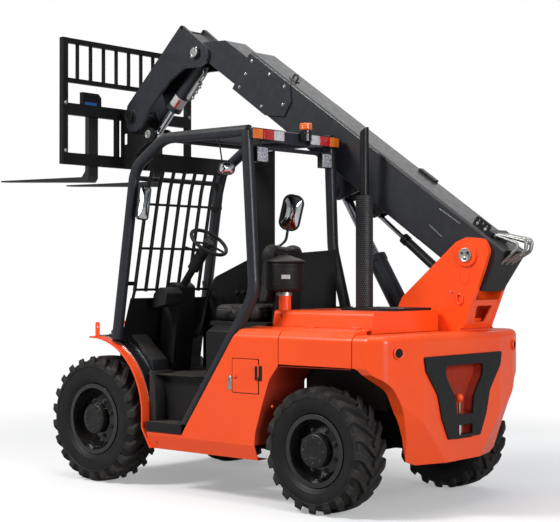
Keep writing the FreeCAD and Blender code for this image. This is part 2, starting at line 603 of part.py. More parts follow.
# ---------------------------------------------------------------- carriage and forks
def carriage_bracket():
    """Quick coupler: two plates on the boom head's pivot that carry the fork carriage."""
    outer = INNER_W / 2 - RUNNING_GAP - 1
    inner = outer - 22
    outline = [(2640, 2775, 40), (2700, 2790, 40), (CARRIAGE_X, 2760, 10), (CARRIAGE_X, 2330, 10), (2716, 2300, 20),
               (2640, 2440, 60), (2530, 2500, 30), (2450, 2520, 40), (2440, 2600, 40), (2500, 2624, 30),
               (2560, 2560, 40), (2630, 2580, 40), (2606, 2700, 50)]
    pieces = []
    for s in (1, -1):
        lo, hi = sorted((BOOM_Y + s * inner, BOOM_Y + s * outer))
        plate = plate_xz(outline, lo, hi)
        slot = plate_xz([(2740, 2500, 12), (2790, 2500, 12), (2790, 2590, 12), (2740, 2590, 12)], lo - 5, hi + 5)
        plate = plate.cut(slot).cut(rod_y(CARRIAGE_PIVOT.x, CARRIAGE_PIVOT.z, lo - 5, hi + 5, 28 + PIN_FIT))
        pieces.append(plate)
        lo, hi = sorted((BOOM_Y + s * 41, BOOM_Y + s * (inner + 2)))
        pieces.append(rod_y(TILT_EYE.x, TILT_EYE.z, lo, hi, 30))
    pieces.append(rod(V(2705, BOOM_Y - inner - 2, 2400), V(2705, BOOM_Y + inner + 2, 2400), 38))
    pieces.append(rod_y(LOCK_PIN.x - 26, LOCK_PIN.z, BOOM_Y - outer - 1, BOOM_Y + outer + 1, 22))
    return join(pieces)


def fork_carriage():
    """Welded frame: two uprights, fork bars, a load backrest grille above."""
    x0 = CARRIAGE_X
    x1 = x0 + 45
    y0 = BOOM_Y - CARRIAGE_W / 2
    y1 = BOOM_Y + CARRIAGE_W / 2
    up = 50
    pieces = [box(x0, x1, y0, y0 + up, CARRIAGE_BOTTOM_Z, BACKREST_TOP_Z),
              box(x0, x1, y1 - up, y1, CARRIAGE_BOTTOM_Z, BACKREST_TOP_Z),
              box(x0, x1, y0, y1, CARRIAGE_BOTTOM_Z, CARRIAGE_BOTTOM_Z + 90),
              box(x0, x1, y0, y1, CARRIAGE_BAR_TOP_Z - 90, CARRIAGE_BAR_TOP_Z),
              box(x0 + 5, x1 - 5, y0, y1, BACKREST_TOP_Z - 40, BACKREST_TOP_Z),
              box(x0 + 5, x1 - 5, y0, y1, 2950, 2985)]
    bars = 9
    for i in range(1, bars + 1):
        y = y0 + up / 2 + (CARRIAGE_W - up) * i / (bars + 1)
        pieces.append(box(x0 + 10, x1 - 10, y - 9, y + 9, 2970, BACKREST_TOP_Z - 20))
    for s in (1, -1):
        y = BOOM_Y + s * 130
        pieces.append(box(x0, x1, y - 12, y + 12, CARRIAGE_BOTTOM_Z + 50, CARRIAGE_BAR_TOP_Z - 50))
    return join(pieces)


def forks():
    """Two hooked pallet forks, blades tapering to the tip."""
    made = []
    for s in (1, -1):
        y = BOOM_Y + s * FORK_PITCH / 2
        x0 = CARRIAGE_X + 45 + SEAT_GAP
        a = radians(FORK_RISE)
        tip_z = FORK_HEEL_Z + (FORK_TIP_X - x0) * tan(a)
        side = [(x0, 2815, 6), (x0, FORK_HEEL_Z + 30, 30), (x0 + 30, FORK_HEEL_Z, 20), (FORK_TIP_X, tip_z), (FORK_TIP_X, tip_z + 10),
                (x0 + FORK_T + 40, FORK_HEEL_Z + FORK_T + 4, 10), (x0 + FORK_T, FORK_HEEL_Z + FORK_T + 50, 30), (x0 + FORK_T, 2815, 6)]
        blade = plate_xz(side, y - FORK_W / 2, y + FORK_W / 2)
        tip = plate_xy([(x0 - 200, y - FORK_W / 2), (FORK_TIP_X, y - FORK_W / 2, 45), (FORK_TIP_X, y + FORK_W / 2, 45),
                        (x0 - 200, y + FORK_W / 2)], 2000, 3000)
        blade = blade.common(tip)
        hook = box(CARRIAGE_X + 20, x0 + FORK_T, y - FORK_W / 2, y + FORK_W / 2, CARRIAGE_BAR_TOP_Z, 2815)
        made.append(join([blade, hook]))
    return made


# ---------------------------------------------------------------- rear body
def beyond(point, normal, size=900):
    """A large block on the far side of a plane."""
    block = Part.makeBox(2 * size, 2 * size, size, V(-size, -size, 0))
    block.Placement = FreeCAD.Placement(point, FreeCAD.Rotation(Z_AXIS, normal))
    return block


def counterweight():
    """Wrap-round rear counterweight, undercut for the steered wheels."""
    plan = [(-300, 800), (-410, 800, 60), (-500, 742, 80), (-532, 640, 80), (-560, 430, 80), (-560, -430, 80),
            (-532, -640, 80), (-500, -742, 80), (-410, -800, 60), (-300, -800)]
    left_edge = [(800, 905, 30), (785, 868, 40), (683, 785, 80), (592, 630, 150), (533, 480, 150), (500, 335, 25), (416, 308, 30)]
    rear_view = ([(-800, 1100)] + [(-y, z, r) for y, z, r in left_edge] + left_edge[::-1] + [(800, 1100)])
    mass = plate_xy(plan, 300, 1100)
    rim = [e for e in mass.Edges if abs(e.CenterOfMass.z - 1100) < 0.1 and e.CenterOfMass.x < -305]
    mass = mass.makeFillet(42, rim)
    mass = mass.common(plate_yz(rear_view, -700, -200))
    for s in (1, -1):
        mass = mass.cut(beyond(V(-560, s * 207, 327), V(-0.921, s * 0.286, -0.265)))
    # room for the chassis tail and for the wheels as they steer
    under = plate_xz([(-200, 200), (-200, 905), (-330, 905, 60), (FRAME_REAR_X, 760, 60), (FRAME_REAR_X, 200)], -900, 900)
    mass = mass.cut(under)
    for s in (1, -1):
        lo, hi = sorted((s * 380, s * 700))
        mass = mass.cut(plate_xz([(-400, 200), (-400, 640), (FRAME_REAR_X - 4, 640, 40), (FRAME_REAR_X - 16, 560, 40),
                                  (FRAME_REAR_X - 16, 200)], lo, hi))
    inside = plate_xy([(-200, -740), (-400, -740, 40), (-455, -690, 40), (-500, -420, 60), (-500, 420, 60), (-455, 690, 40),
                       (-400, 740, 40), (-200, 740)], 940, 1050)
    mass = mass.cut(inside)
    slot = box(FRAME_REAR_X - 1, -200, BOOM_SLOT_RIGHT_Y + 12, BOOM_SLOT_LEFT_Y - 12, 600, 1200)
    upper, jaw = tow_recess(5)
    return cut(mass, [slot, upper, jaw])


TOW_PIN_X = -530.0
TOW_PIN_R = 13.0
JAW_LOW_Z = 466.0
JAW_HIGH_Z = 527.0
JAW_T = 20.0


def tow_recess(grow):
    """The two pockets in the counterweight's back, made larger all round by grow."""
    upper = [(-208, 902, 20), (-208, 835, 60), (-106, 701, 60), (-92, 593), (92, 593), (106, 701, 60), (208, 835, 60), (208, 902, 20)]
    if grow:
        upper = [(y + (grow if y > 0 else -grow), z + (grow if z > 850 else 0), r[0] if r else 0) for y, z, *r in upper]
    upper = plate_yz([c if c[-1] and len(c) == 3 else c[:2] for c in upper], -600, -495)
    low_z = JAW_LOW_Z - JAW_T - grow
    jaw = plate_yz([(-100 - grow, 605), (-92 - grow, low_z), (92 + grow, low_z), (100 + grow, 605)], -600, -495)
    return upper, jaw


def bumper_insert():
    """Black V-shaped frame in the counterweight, with the two lugs of the towing jaw."""
    edge = [(437, 966, 14), (421, 881, 60), (293, 728, 120), (250, 579, 120), (178, 448, 14)]
    outline = [(-y, z, r) for y, z, r in edge] + edge[::-1]
    frame = plate_yz(outline, -572, -560)
    upper, jaw = tow_recess(0)
    mouth = plate_yz([(-90, JAW_HIGH_Z), (-85, JAW_LOW_Z), (85, JAW_LOW_Z), (90, JAW_HIGH_Z)], -600, -500)
    frame = cut(frame, [upper, mouth])
    lugs = [box(-566, -500, -75, 75, JAW_LOW_Z - JAW_T, JAW_LOW_Z), box(-566, -500, -75, 75, JAW_HIGH_Z, JAW_HIGH_Z + JAW_T)]
    whole = join([frame] + lugs)
    return whole.cut(rod_z(TOW_PIN_X, 0, 400, 800, TOW_PIN_R + PIN_FIT))


def tow_pin():
    shaft = rod_z(TOW_PIN_X, 0, JAW_LOW_Z - JAW_T - 3, JAW_HIGH_Z + JAW_T, TOW_PIN_R)
    head = rod_z(TOW_PIN_X, 0, JAW_HIGH_Z + JAW_T, JAW_HIGH_Z + JAW_T + 14, 22)
    return join([shaft, head])


# ---------------------------------------------------------------- side panels and hood
SIDE_INNER_Y = 606.0          # where the side panels meet the hood
HOOD_FRONT_X = 500.0
HOOD_REAR_X = -295.0
PANEL_SPLIT_X = 281.0         # engine side cover behind, side panel ahead
SLOT_LEFT_Y = BOOM_SLOT_LEFT_Y
SLOT_RIGHT_Y = BOOM_SLOT_RIGHT_Y
DOOR = (450.0, 668.0, 712.0, 926.0)      # fuel door: x0, x1, z0, z1
DOOR_GAP = 5.0
DOOR_HINGE = (DOOR[0] - 8, BODY_HALF_W + 5.5)
COVER_HINGE = (606.6, 1136.5)            # y, z of the engine side cover's hinge line


def side_section(inner_y, x0, x1, low_z=SKIRT_Z):
    """The pressed section of a left side panel, drawn along the machine."""
    t = SHEET
    outer = [(inner_y, 1130), (762, 1117, 30), (800, 1070, 40), (800, 381), (778, SKIRT_Z), (690, SKIRT_Z)]
    inner = [(690, SKIRT_Z + t), (778 - t, SKIRT_Z + t), (800 - t, 381), (800 - t, 1070 - 2, 35),
             (762 - 2, 1117 - t, 25), (inner_y, 1130 - t)]
    shape = plate_yz(outer + inner, x0, x1)
    if low_z > SKIRT_Z:
        shape = shape.cut(box(x0 - 1, x1 + 1, 0, 900, 0, low_z))
    return shape


CANOPY_KNEE = (522.0, 1335.0)          # where the left rear tube turns forward
CANOPY_FOOT = (1145.0, 447.0)


def beside_tube(z):
    """A point at height z just behind the slanting canopy tube."""
    dx = CANOPY_FOOT[0] - CANOPY_KNEE[0]
    dz = CANOPY_FOOT[1] - CANOPY_KNEE[1]
    clear = (CANOPY_TUBE / 2 + 0.5) * hypot(dx, dz) / abs(dz)
    return (CANOPY_KNEE[0] + dx * (z - CANOPY_KNEE[1]) / dz - clear, z)


def side_outline():
    return [(PANEL_SPLIT_X + 3, 1140), (PANEL_SPLIT_X + 3, 895, 30), (357, 805, 150), (414, 650, 200), (474, 464, 200), (482, 381), (466, 280),
            (TAIL_FOOT_X - 5.5, 280), (TAIL_FOOT_X - 5.5 + (STEP_LOW_Z - 280.5) * 85 / 141, STEP_LOW_Z - 0.5), (1127.5, STEP_LOW_Z - 0.5),
            beside_tube(455), beside_tube(1140)]


def left_side_panel():
    panel = side_section(SIDE_INNER_Y, PANEL_SPLIT_X, 1460).common(plate_xz(side_outline(), 500, 900))
    x0, x1, z0, z1 = DOOR
    g = DOOR_GAP
    opening = plate_xz([(x0 - 2 * g, z0 - g, 8), (x1 + g, z0 - g, 8), (x1 + g, z1 + g, 8), (x0 - 2 * g, z1 + g, 8)], 780, 820)
    panel = panel.cut(opening)
    brackets = [box(x, x + 20, 630, 796, 381, 400) for x in (540, 1340)]
    return join([panel] + brackets)


def fuel_door():
    x0, x1, z0, z1 = DOOR
    door = plate_xz([(x0, z0, 8), (x1, z0, 8), (x1, z1, 8), (x0, z1, 8)], BODY_HALF_W - SHEET, BODY_HALF_W)
    leaf = box(x0 - 6, x0 + 30, BODY_HALF_W + 1, BODY_HALF_W + 5, z1 - 110, z1 - 30)
    backing = box(x0 + 4, x0 + 30, BODY_HALF_W - 1, BODY_HALF_W + 5, z1 - 110, z1 - 30)
    barrel = rod_z(DOOR_HINGE[0], DOOR_HINGE[1], z1 - 110, z1 - 30, 5)
    lock = rod_y(x1 - 22, (z0 + z1) / 2, BODY_HALF_W - 2, BODY_HALF_W + 8, 16)
    return join([door, leaf, backing, barrel, lock])


def engine_side_cover():
    cover = side_section(SIDE_INNER_Y, HOOD_REAR_X + 3, PANEL_SPLIT_X - 3, 905)
    ends = []
    for x in (HOOD_REAR_X + 3, PANEL_SPLIT_X - 3 - SHEET):
        ends.append(plate_yz([(SIDE_INNER_Y + 40, 1124), (760, 1113), (796, 1068), (796, 905), (780, 905), (740, 1060), (SIDE_INNER_Y + 40, 1090)],
                             x, x + SHEET))
    y, z = COVER_HINGE
    hinges = []
    for x in (-210, 140):
        hinges.append(rod(V(x, y, z), V(x + 60, y, z), 6))
        hinges.append(box(x, x + 60, SIDE_INNER_Y, SIDE_INNER_Y + 30, 1126, 1133))
    return join([cover] + ends + hinges)


def right_side_cover():
    """Fixed right bodywork: the left panel's shape without its door, and the deck beside the boom."""
    side = side_section(-SLOT_RIGHT_Y, HOOD_REAR_X, 1460)
    outline = [(HOOD_REAR_X, 1140), (HOOD_REAR_X, 905)] + [(PANEL_SPLIT_X, 895, 30)] + side_outline()[2:]
    side = side.common(plate_xz(outline, 400, 900))
    wall = box(HOOD_REAR_X, 600, -SLOT_RIGHT_Y, -SLOT_RIGHT_Y + SHEET, 800, 1130)
    wall = wall.common(plate_xz([(HOOD_REAR_X, 1130), (HOOD_REAR_X, 800), (600, 800), (668, 1130)], 400, 900))
    brackets = [box(x, x + 20, 630, 796, 381, 400) for x in (540, 1340)]
    return mirror_y(join([side, wall] + brackets))


AIR_CLEANER = (448.0, 540.0)             # x, y of the air pre-cleaner on the hood


def air_cleaner():
    """Neck, bowl and dished lid of the air pre-cleaner, one turned shape."""
    z = HOOD_Z
    profile = [(0, z - 3), (40, z - 3), (40, z + 92), (46, z + 92), (46, z + 114), (38, z + 114), (40, z + 126), (96, z + 150),
               (105, z + 165), (105, z + 300), (128, z + 306), (132, z + 312), (128, z + 318), (70, z + 338), (40, z + 350), (0, z + 356)]
    points = [V(r, 0, h) for r, h in profile]
    solid = Part.Face(Part.makePolygon(points + [points[0]])).revolve(V(0, 0, 0), Z_AXIS, 360)
    solid.translate(V(AIR_CLEANER[0], AIR_CLEANER[1], 0))
    return solid


def engine_hood():
    t = SHEET
    section = [(SLOT_LEFT_Y, 880), (SLOT_LEFT_Y, HOOD_Z, 15), (580, HOOD_Z, 30), (SIDE_INNER_Y - 6, 1136), (SIDE_INNER_Y - 6, 1060),
               (SIDE_INNER_Y - 6 - t, 1060), (SIDE_INNER_Y - 6 - t, 1134), (576, HOOD_Z - t, 25),
               (SLOT_LEFT_Y + t, HOOD_Z - t, 10), (SLOT_LEFT_Y + t, 880)]
    shell = plate_yz(section, HOOD_REAR_X, HOOD_FRONT_X)
    end = [(SLOT_LEFT_Y + 2, 1102), (SLOT_LEFT_Y + 2, HOOD_Z - 2), (578, HOOD_Z - 2, 28), (SIDE_INNER_Y - 8, 1135), (SIDE_INNER_Y - 8, 1102)]
    rear = plate_yz(end, HOOD_REAR_X, HOOD_REAR_X + t)
    front_low = FLOOR_Z
    end = [(SLOT_LEFT_Y + 2, front_low), (SLOT_LEFT_Y + 2, HOOD_Z - 2), (578, HOOD_Z - 2, 28), (SIDE_INNER_Y - 8, 1135), (SIDE_INNER_Y - 8, front_low)]
    front = plate_yz(end, HOOD_FRONT_X - t, HOOD_FRONT_X)
    return join([shell, rear, front, air_cleaner()])


def hood_louvre():
    """Raised black grille on the hood: a frame round sloping slats."""
    x0, x1, y0, y1 = -270, 150, -70, 330
    z = HOOD_Z
    frame = box(x0, x1, y0, y1, z, z + 16).cut(box(x0 + 18, x1 - 18, y0 + 18, y1 - 18, z - 1, z + 20))
    slats = []
    count = 9
    pitch = (x1 - x0 - 36) / count
    for i in range(count):
        slat = box(0, 30, y0 + 14, y1 - 14, 0, 3)
        slat.rotate(V(0, 0, 0), Y_AXIS, -20)
        slat.translate(V(x0 + 22 + pitch * i, 0, z + 2))
        slats.append(slat)
    return join([frame] + slats)


# ---------------------------------------------------------------- cab
CANOPY_FOOT_Z = 1010.0


def cab_floor():
    """Floor, side step, cowl below the front guard, and the wall under the canopy's foot."""
    t = SHEET
    floor = plate_xy([(HOOD_FRONT_X, -115), (1845, -115), (1845, 494), (1578, 494), (1578, 700, 20), (1120, 700, 20), (1060, 600, 20),
                      (HOOD_FRONT_X, 600)], FLOOR_Z - t, FLOOR_Z)
    riser = box(1120, 1460, 640, 640 + t, 400, FLOOR_Z - 2)
    tread = box(1128, FENDER_REAR_X - 47, 640, BODY_HALF_W + 6, STEP_LOW_Z, STEP_Z)
    tread = tread.cut(box(1140, FENDER_REAR_X - 59, 652, BODY_HALF_W - 6, STEP_LOW_Z - 1, STEP_Z - 12))
    cowl = plate_xz([(1845, FLOOR_Z - t), (1845, 860, 40), (1822, 1010), (1817, 1010), (1840, 858, 40), (1840, FLOOR_Z - t)], -115, 494)
    bearer = box(1790, 1830, -130, 780, 995, CANOPY_FOOT_Z)
    legs = [box(x, x + 60, y, y + 60, DECK_Z, FLOOR_Z - t) for x in (800, 1500) for y in (-80, 280)]
    return join([floor, riser, tread, cowl, bearer] + legs)


FENDER_T = 12.0
FENDER_TOP_Z = 1027.0
FENDER_REAR_X = 1505.0
FENDER_R = 520.0
FENDER_FRONT_X = 2050.0
FENDER_INNER_Y = 500.0
WEB_T = 6.0
TAIL_FOOT_X = 1425.0


def fender_edge(inset):
    """The fender's rear outline from its front top corner to its foot, moved inwards by inset."""
    return [(FENDER_FRONT_X, FENDER_TOP_Z - inset), (FENDER_REAR_X + inset, FENDER_TOP_Z - inset, FENDER_R - inset),
            (FENDER_REAR_X + inset, 420 - inset / 3)]


def front_fenders():
    made = []
    for s in (1, -1):
        lo, hi = sorted((s * FENDER_INNER_Y, s * BODY_HALF_W))
        inner = fender_edge(FENDER_T)[::-1]
        strip = plate_xz(fender_edge(0) + [(TAIL_FOOT_X, SKIRT_Z), (TAIL_FOOT_X + FENDER_T, SKIRT_Z)] + inner, lo, hi)
        lug_lo, lug_hi = sorted((s * FENDER_INNER_Y, s * (FENDER_INNER_Y + 20)))
        lug = plate_xz([(1955, 1019), (2045, 1021), (2036, 1130, 31), (1971, 1130, 31)], lug_lo, lug_hi)
        lug = lug.cut(rod_y(2005, 1095, lug_lo - 2, lug_hi + 2, 17))
        made.append(join([strip, lug]))
    return made


def arch_liners():
    """Black sheets round the rear wheels, and the webs that carry the front fenders."""
    made = []
    t = 4
    for s, inner_y in ((1, 446), (-1, 497.4)):
        lo, hi = sorted((s * inner_y, s * (BODY_HALF_W - SHEET - 0.4)))
        outline = [(HOOD_REAR_X + 10, 895), (PANEL_SPLIT_X - 2, 890, 30), (352, 803, 150), (409, 649, 200), (469, 464, 200), (477, 384),
                   (477 + t, 384), (469 + t + 1, 465, 200), (409 + t + 1, 650, 200), (352 + t, 804 + t, 150), (PANEL_SPLIT_X, 890 + t, 30),
                   (HOOD_REAR_X + 10, 895 + t)]
        liner = plate_xz(outline, lo, hi)
        if s > 0:
            liner = liner.cut(box(DOOR[0] - 20, DOOR[1], BODY_HALF_W - SHEET - 7, BODY_HALF_W, DOOR[2] - 15, DOOR[3] + 15))
        made.append(liner)
    gap = FENDER_T + SEAT_GAP
    for s in (1, -1):
        lo, hi = sorted((s * FENDER_INNER_Y, s * (FENDER_INNER_Y + WEB_T)))
        web = plate_xz(fender_edge(gap) + [(1560, 400), (1640, 608, 60), (FENDER_FRONT_X, 608)], lo, hi)
        lo, hi = sorted((s * RAIL_Y, s * (FENDER_INNER_Y + WEB_T)))
        arm = box(1532, 1544, lo, hi, 430, DECK_Z - PLATE - 4)
        lo, hi = sorted((s * 360, s * (FENDER_INNER_Y + WEB_T)))
        bracket = box(1990, FENDER_FRONT_X, lo, hi, DECK_Z - PLATE, DECK_Z)
        made.append(join([web, arm, bracket]))
    return made


CANOPY_TOP_Z = 2385.0
CANOPY_REAR_X = 588.0          # middle of the rear canopy tubes
LAMP_RAIL_X = CANOPY_REAR_X - CANOPY_TUBE / 2 + 6      # rear face of the plate that carries the lamps
LAMP_RAIL_T = 6.0


def canopy_frame():
    d = CANOPY_TUBE
    pieces = []
    for y in (CAB_LEFT_Y, CAB_RIGHT_Y):
        front = bent_tube([V(1815, y, 990), V(1628, y, 2200), V(1340, y, CANOPY_TOP_Z), V(568, y, CANOPY_TOP_Z)], [200, 260], d)
        pieces.append(front)
    y = CAB_LEFT_Y
    pieces.append(bent_tube([V(CANOPY_REAR_X, y, CANOPY_TOP_Z), V(CANOPY_KNEE[0], y, CANOPY_KNEE[1]),
                             V(CANOPY_FOOT[0] + 14, y, CANOPY_FOOT[1] - 20)], [260], d))
    pieces.append(bent_tube([V(CANOPY_REAR_X + 5, CAB_RIGHT_Y, CANOPY_TOP_Z), V(CANOPY_REAR_X - 25, CAB_RIGHT_Y, 1640),
                             V(450, CAB_RIGHT_Y, HOOD_Z - 10)], [400], d))
    pieces.append(box(395, 498, CAB_RIGHT_Y - 7, CAB_RIGHT_Y + d / 2 + 15, HOOD_Z, HOOD_Z + 12))
    pieces.append(rod(V(CANOPY_REAR_X, CAB_RIGHT_Y, CANOPY_TOP_Z), V(CANOPY_REAR_X, CAB_LEFT_Y, CANOPY_TOP_Z), 24))
    pieces.append(rod(V(578, CAB_RIGHT_Y, 2285), V(578, CAB_LEFT_Y, 2285), 14))
    pieces.append(rod(V(1640, CAB_RIGHT_Y, 2130), V(1640, CAB_LEFT_Y, 2130), 18))
    pieces.append(rod(V(1345, CAB_RIGHT_Y, 2380), V(1345, CAB_LEFT_Y, 2380), 18))
    pieces.append(box(LAMP_RAIL_X, LAMP_RAIL_X + LAMP_RAIL_T, CAB_RIGHT_Y, CAB_LEFT_Y - 10, 2325, 2400))
    pieces.append(box(1120, 1190, y - 20, y + 20, STEP_Z, STEP_Z + 14))
    whole = join(pieces)
    return cut(whole, [box(1700, 1900, -200, 900, 900, CANOPY_FOOT_Z), box(1000, 1300, 600, 900, 300, STEP_Z),
                       box(300, 600, -200, 0, 1100, HOOD_Z)])


def canopy_roof():
    """Slotted roof plate between the canopy tubes."""
    y0 = CAB_RIGHT_Y + CANOPY_TUBE / 2
    y1 = CAB_LEFT_Y - CANOPY_TUBE / 2
    roof = box(CANOPY_REAR_X + 25, 1322, y0, y1, 2392, 2397)
    slots = []
    for i in range(9):
        y = y0 + 60 + i * (y1 - y0 - 120) / 8
        slots.append(plate_xy([(660, y - 18, 17), (1270, y - 18, 17), (1270, y + 18, 17), (660, y + 18, 17)], 2380, 2410))
    return cut(roof, slots)


GUARD_FOOT = (1697.0, 1345.0)           # x, z of the bars' lower ends
GUARD_BEND = (1560.0, 2060.0)
GUARD_HEAD = (1516.0, 2195.0)
GUARD_BARS = 8
GUARD_BAR_R = 13.0


def guard_x(z):
    """x of the front guard's bars at a height, on the two lines that its bend joins."""
    low, high = (GUARD_FOOT, GUARD_BEND) if z < GUARD_BEND[1] else (GUARD_BEND, GUARD_HEAD)
    return low[0] + (z - low[1]) * (high[0] - low[0]) / (high[1] - low[1])


def pillar_x(z):
    """x of the front canopy tubes at a height below their top bend."""
    return 1815 - (z - 990) * (1815 - 1628) / (2200 - 990)


def front_guard():
    """Bars in front of the operator, with a visor above them and a cowl panel below."""
    edge = CANOPY_TUBE / 2
    y0 = CAB_RIGHT_Y + edge + 20
    y1 = CAB_LEFT_Y - edge - 20
    pieces = []
    for i in range(GUARD_BARS):
        y = y0 + (y1 - y0) * i / (GUARD_BARS - 1)
        pieces.append(bent_tube([V(GUARD_FOOT[0], y, GUARD_FOOT[1]), V(GUARD_BEND[0], y, GUARD_BEND[1]),
                                 V(GUARD_HEAD[0], y, GUARD_HEAD[1])], [500], 2 * GUARD_BAR_R))
    for z in (GUARD_FOOT[1] + 12, 1645, 1950, GUARD_HEAD[1] - 8):
        pieces.append(rod(V(guard_x(z), y0, z), V(guard_x(z), y1, z), 9))
    x, z = GUARD_HEAD
    pieces.append(plate_xz([(x + 3, z - 12), (x - 3, z - 12), (x - 28, z + 100), (x - 22, z + 100)], y0 - 8, y1 + 8))
    pieces.append(plate_xz([(1812, CANOPY_FOOT_Z + SEAT_GAP), (1807, CANOPY_FOOT_Z + SEAT_GAP), (GUARD_FOOT[0] + 16, 1298),
                            (GUARD_FOOT[0] + 21, 1298)], y0 - 20 + WALL_T + SEAT_GAP, y1 + 19))
    for y in (y0, y1):
        pieces.append(rod(V(GUARD_FOOT[0], y, GUARD_FOOT[1]), V(GUARD_FOOT[0] + 19, y, 1290), GUARD_BAR_R - 2))
    for z in (1400, 1950):
        for y, side in ((y0, -1), (y1, 1)):
            lo, hi = sorted((y, y + side * (20 - SEAT_GAP)))
            pieces.append(box(guard_x(z) - 8, pillar_x(z) + 4, lo, hi, z - 14, z + 14))
    return join(pieces)


WALL_T = 4.0                   # right wall of the cab


def right_wall():
    y = CAB_RIGHT_Y + CANOPY_TUBE / 2
    outline = [(HOOD_FRONT_X + 4, FLOOR_Z), (1762, FLOOR_Z), (1762, 1100), (1650, 1440, 60), (1300, 1575, 40), (1272, 1640, 40), (1272, 2340),
               (1057, 2340), (1057, 1640, 40), (1020, 1605, 40), (HOOD_FRONT_X + 4, 1632)]
    return plate_xz(outline, y, y + WALL_T)


def seat_base():
    box1 = plate_yz([(SEAT_Y - 190, FLOOR_Z), (SEAT_Y + 265, FLOOR_Z), (SEAT_Y + 265, 1085, 20), (SEAT_Y + 225, 1120, 20),
                     (SEAT_Y - 190, 1120, 30)], 620, 1100)
    box1 = box1.common(plate_xz([(620, FLOOR_Z), (1100, FLOOR_Z), (1100, 1070, 20), (1060, 1120, 20), (620, 1120)], 0, 900))
    pan = plate_xz([(600, 1120), (1110, 1120), (1110, 1150, 10), (600, 1150, 10)], SEAT_Y - 215, SEAT_Y + 215)
    spine = plate_xz([(600, 1150), (640, 1150), (600, 1600), (575, 1600)], SEAT_Y - 120, SEAT_Y + 120)
    return join([box1, pan, spine])


def seat_cushion():
    shape = plate_xz([(660, 1150 + SEAT_GAP, 30), (1110, 1150 + SEAT_GAP, 50), (1110, 1265, 50), (660, 1240, 30)], SEAT_Y - 220, SEAT_Y + 220)
    return shape


def seat_backrest():
    shape = plate_yz([(SEAT_Y - 205, 1250, 40), (SEAT_Y + 205, 1250, 40), (SEAT_Y + 205, 1600, 80), (SEAT_Y + 150, 1685, 60),
                      (SEAT_Y - 150, 1685, 60), (SEAT_Y - 205, 1600, 80)], 0, 90)
    shape.rotate(V(0, 0, 1250), Y_AXIS, -5)
    shape.translate(V(632, 0, 0))
    return shape


def control_console():
    body = plate_xz([(860, FLOOR_Z), (1500, FLOOR_Z), (1500, 1080, 40), (1400, 1180, 40), (860, 1180, 40)],
                    CAB_RIGHT_Y + CANOPY_TUBE / 2 + WALL_T + SEAT_GAP, 60)
    levers = []
    for i in range(3):
        foot = V(1240 + 60 * i, -20, 1150)
        knob = V(1262 + 60 * i, -16, 1330)
        levers.append(rod(foot, knob, 7))
        levers.append(Part.makeSphere(20, knob))
    return join([body] + levers)


STEER_HUB = V(1338, SEAT_Y, 1677)
COLUMN_FOOT = V(1604, SEAT_Y, 1360)
STEER_RING_R = 137.0


def steering_column():
    """Tilted column on an upright pod, with an instrument housing on the left."""
    along = STEER_HUB.sub(COLUMN_FOOT)
    pod = plate_xz([(1600, FLOOR_Z), (1740, FLOOR_Z), (1706, 1180, 30), (1668, 1330, 30), (1620, 1420, 30), (1550, 1380, 30),
                    (1560, 1120, 60)], SEAT_Y - 90, SEAT_Y + 90)
    housing = plate_xz([(1520, 1255, 20), (1655, 1225, 20), (1640, 1330, 50), (1560, 1385, 40), (1505, 1330, 20)],
                       SEAT_Y + 80, SEAT_Y + 235)
    head = rod(COLUMN_FOOT + along * 0.45, STEER_HUB - along * 0.12, 42)
    stalk = rod(STEER_HUB - along * 0.2, STEER_HUB - along * 0.2 + V(20, 150, 40), 7)
    return join([rod(COLUMN_FOOT, STEER_HUB - along * 0.02, 26), pod, housing, head, stalk])


def steering_wheel():
    along = STEER_HUB.sub(COLUMN_FOOT)
    ring = Part.makeTorus(STEER_RING_R, 13, V(0, 0, 20), Z_AXIS)
    pieces = [ring, Part.makeCylinder(38, 30, V(0, 0, -2), Z_AXIS)]
    for i in range(3):
        a = pi / 2 + 2 * pi * i / 3
        pieces.append(rod(V(20 * cos(a), 20 * sin(a), 10), V(STEER_RING_R * cos(a), STEER_RING_R * sin(a), 20), 8))
    wheel = join(pieces)
    wheel.Placement = FreeCAD.Placement(STEER_HUB - along * 0.02 + along * (2.0 / along.Length), FreeCAD.Rotation(Z_AXIS, along))
    return wheel


EXHAUST = (250.0, -45.0)


def exhaust_stack():
    x, y = EXHAUST
    pipe = rod_z(x, y, HOOD_Z, 2450, 30).cut(rod_z(x, y, HOOD_Z + 40, 2500, 27))
    slope = box(-200, 200, -200, 200, 0, 300)
    slope.rotate(V(0, 0, 0), Y_AXIS, 38)
    slope.translate(V(x, y, 2425))
    pipe = pipe.cut(slope)
    shield = rod_z(x, y, HOOD_Z, 1990, 58).cut(rod_z(x, y, HOOD_Z + 8, 1982, 55))
    shield = shield.cut(rod_z(x, y, 1900, 2000, 29))
    return join([pipe, shield])


def roof_lights():
    """Two rear lamp clusters, two work lights and a beacon on the rear rail."""
    made = []
    for y0, y1 in ((455, 712), (CAB_RIGHT_Y + 40, 193)):
        made.append(plate_yz([(y0, 2332, 8), (y1, 2332, 8), (y1, 2398, 8), (y0, 2398, 8)], LAMP_RAIL_X - 36, LAMP_RAIL_X))
    for y in (635, -8):
        lamp = plate_yz([(y - 50, 2170, 12), (y + 50, 2170, 12), (y + 50, 2256, 12), (y - 50, 2256, 12)], 536, 588)
        made.append(join([lamp, box(570, 586, y - 8, y + 8, 2250, 2271)]))
    x1 = LAMP_RAIL_X - SEAT_GAP
    beacon = rod_z(x1 - 34, 240, 2404, 2470, 42)
    bracket = box(x1 - 76, x1, 200, 280, 2398, 2404)
    bracket = join([bracket, box(x1 - 16, x1, 200, 280, 2370, 2400)])
    made.append(join([beacon, bracket]))
    return made


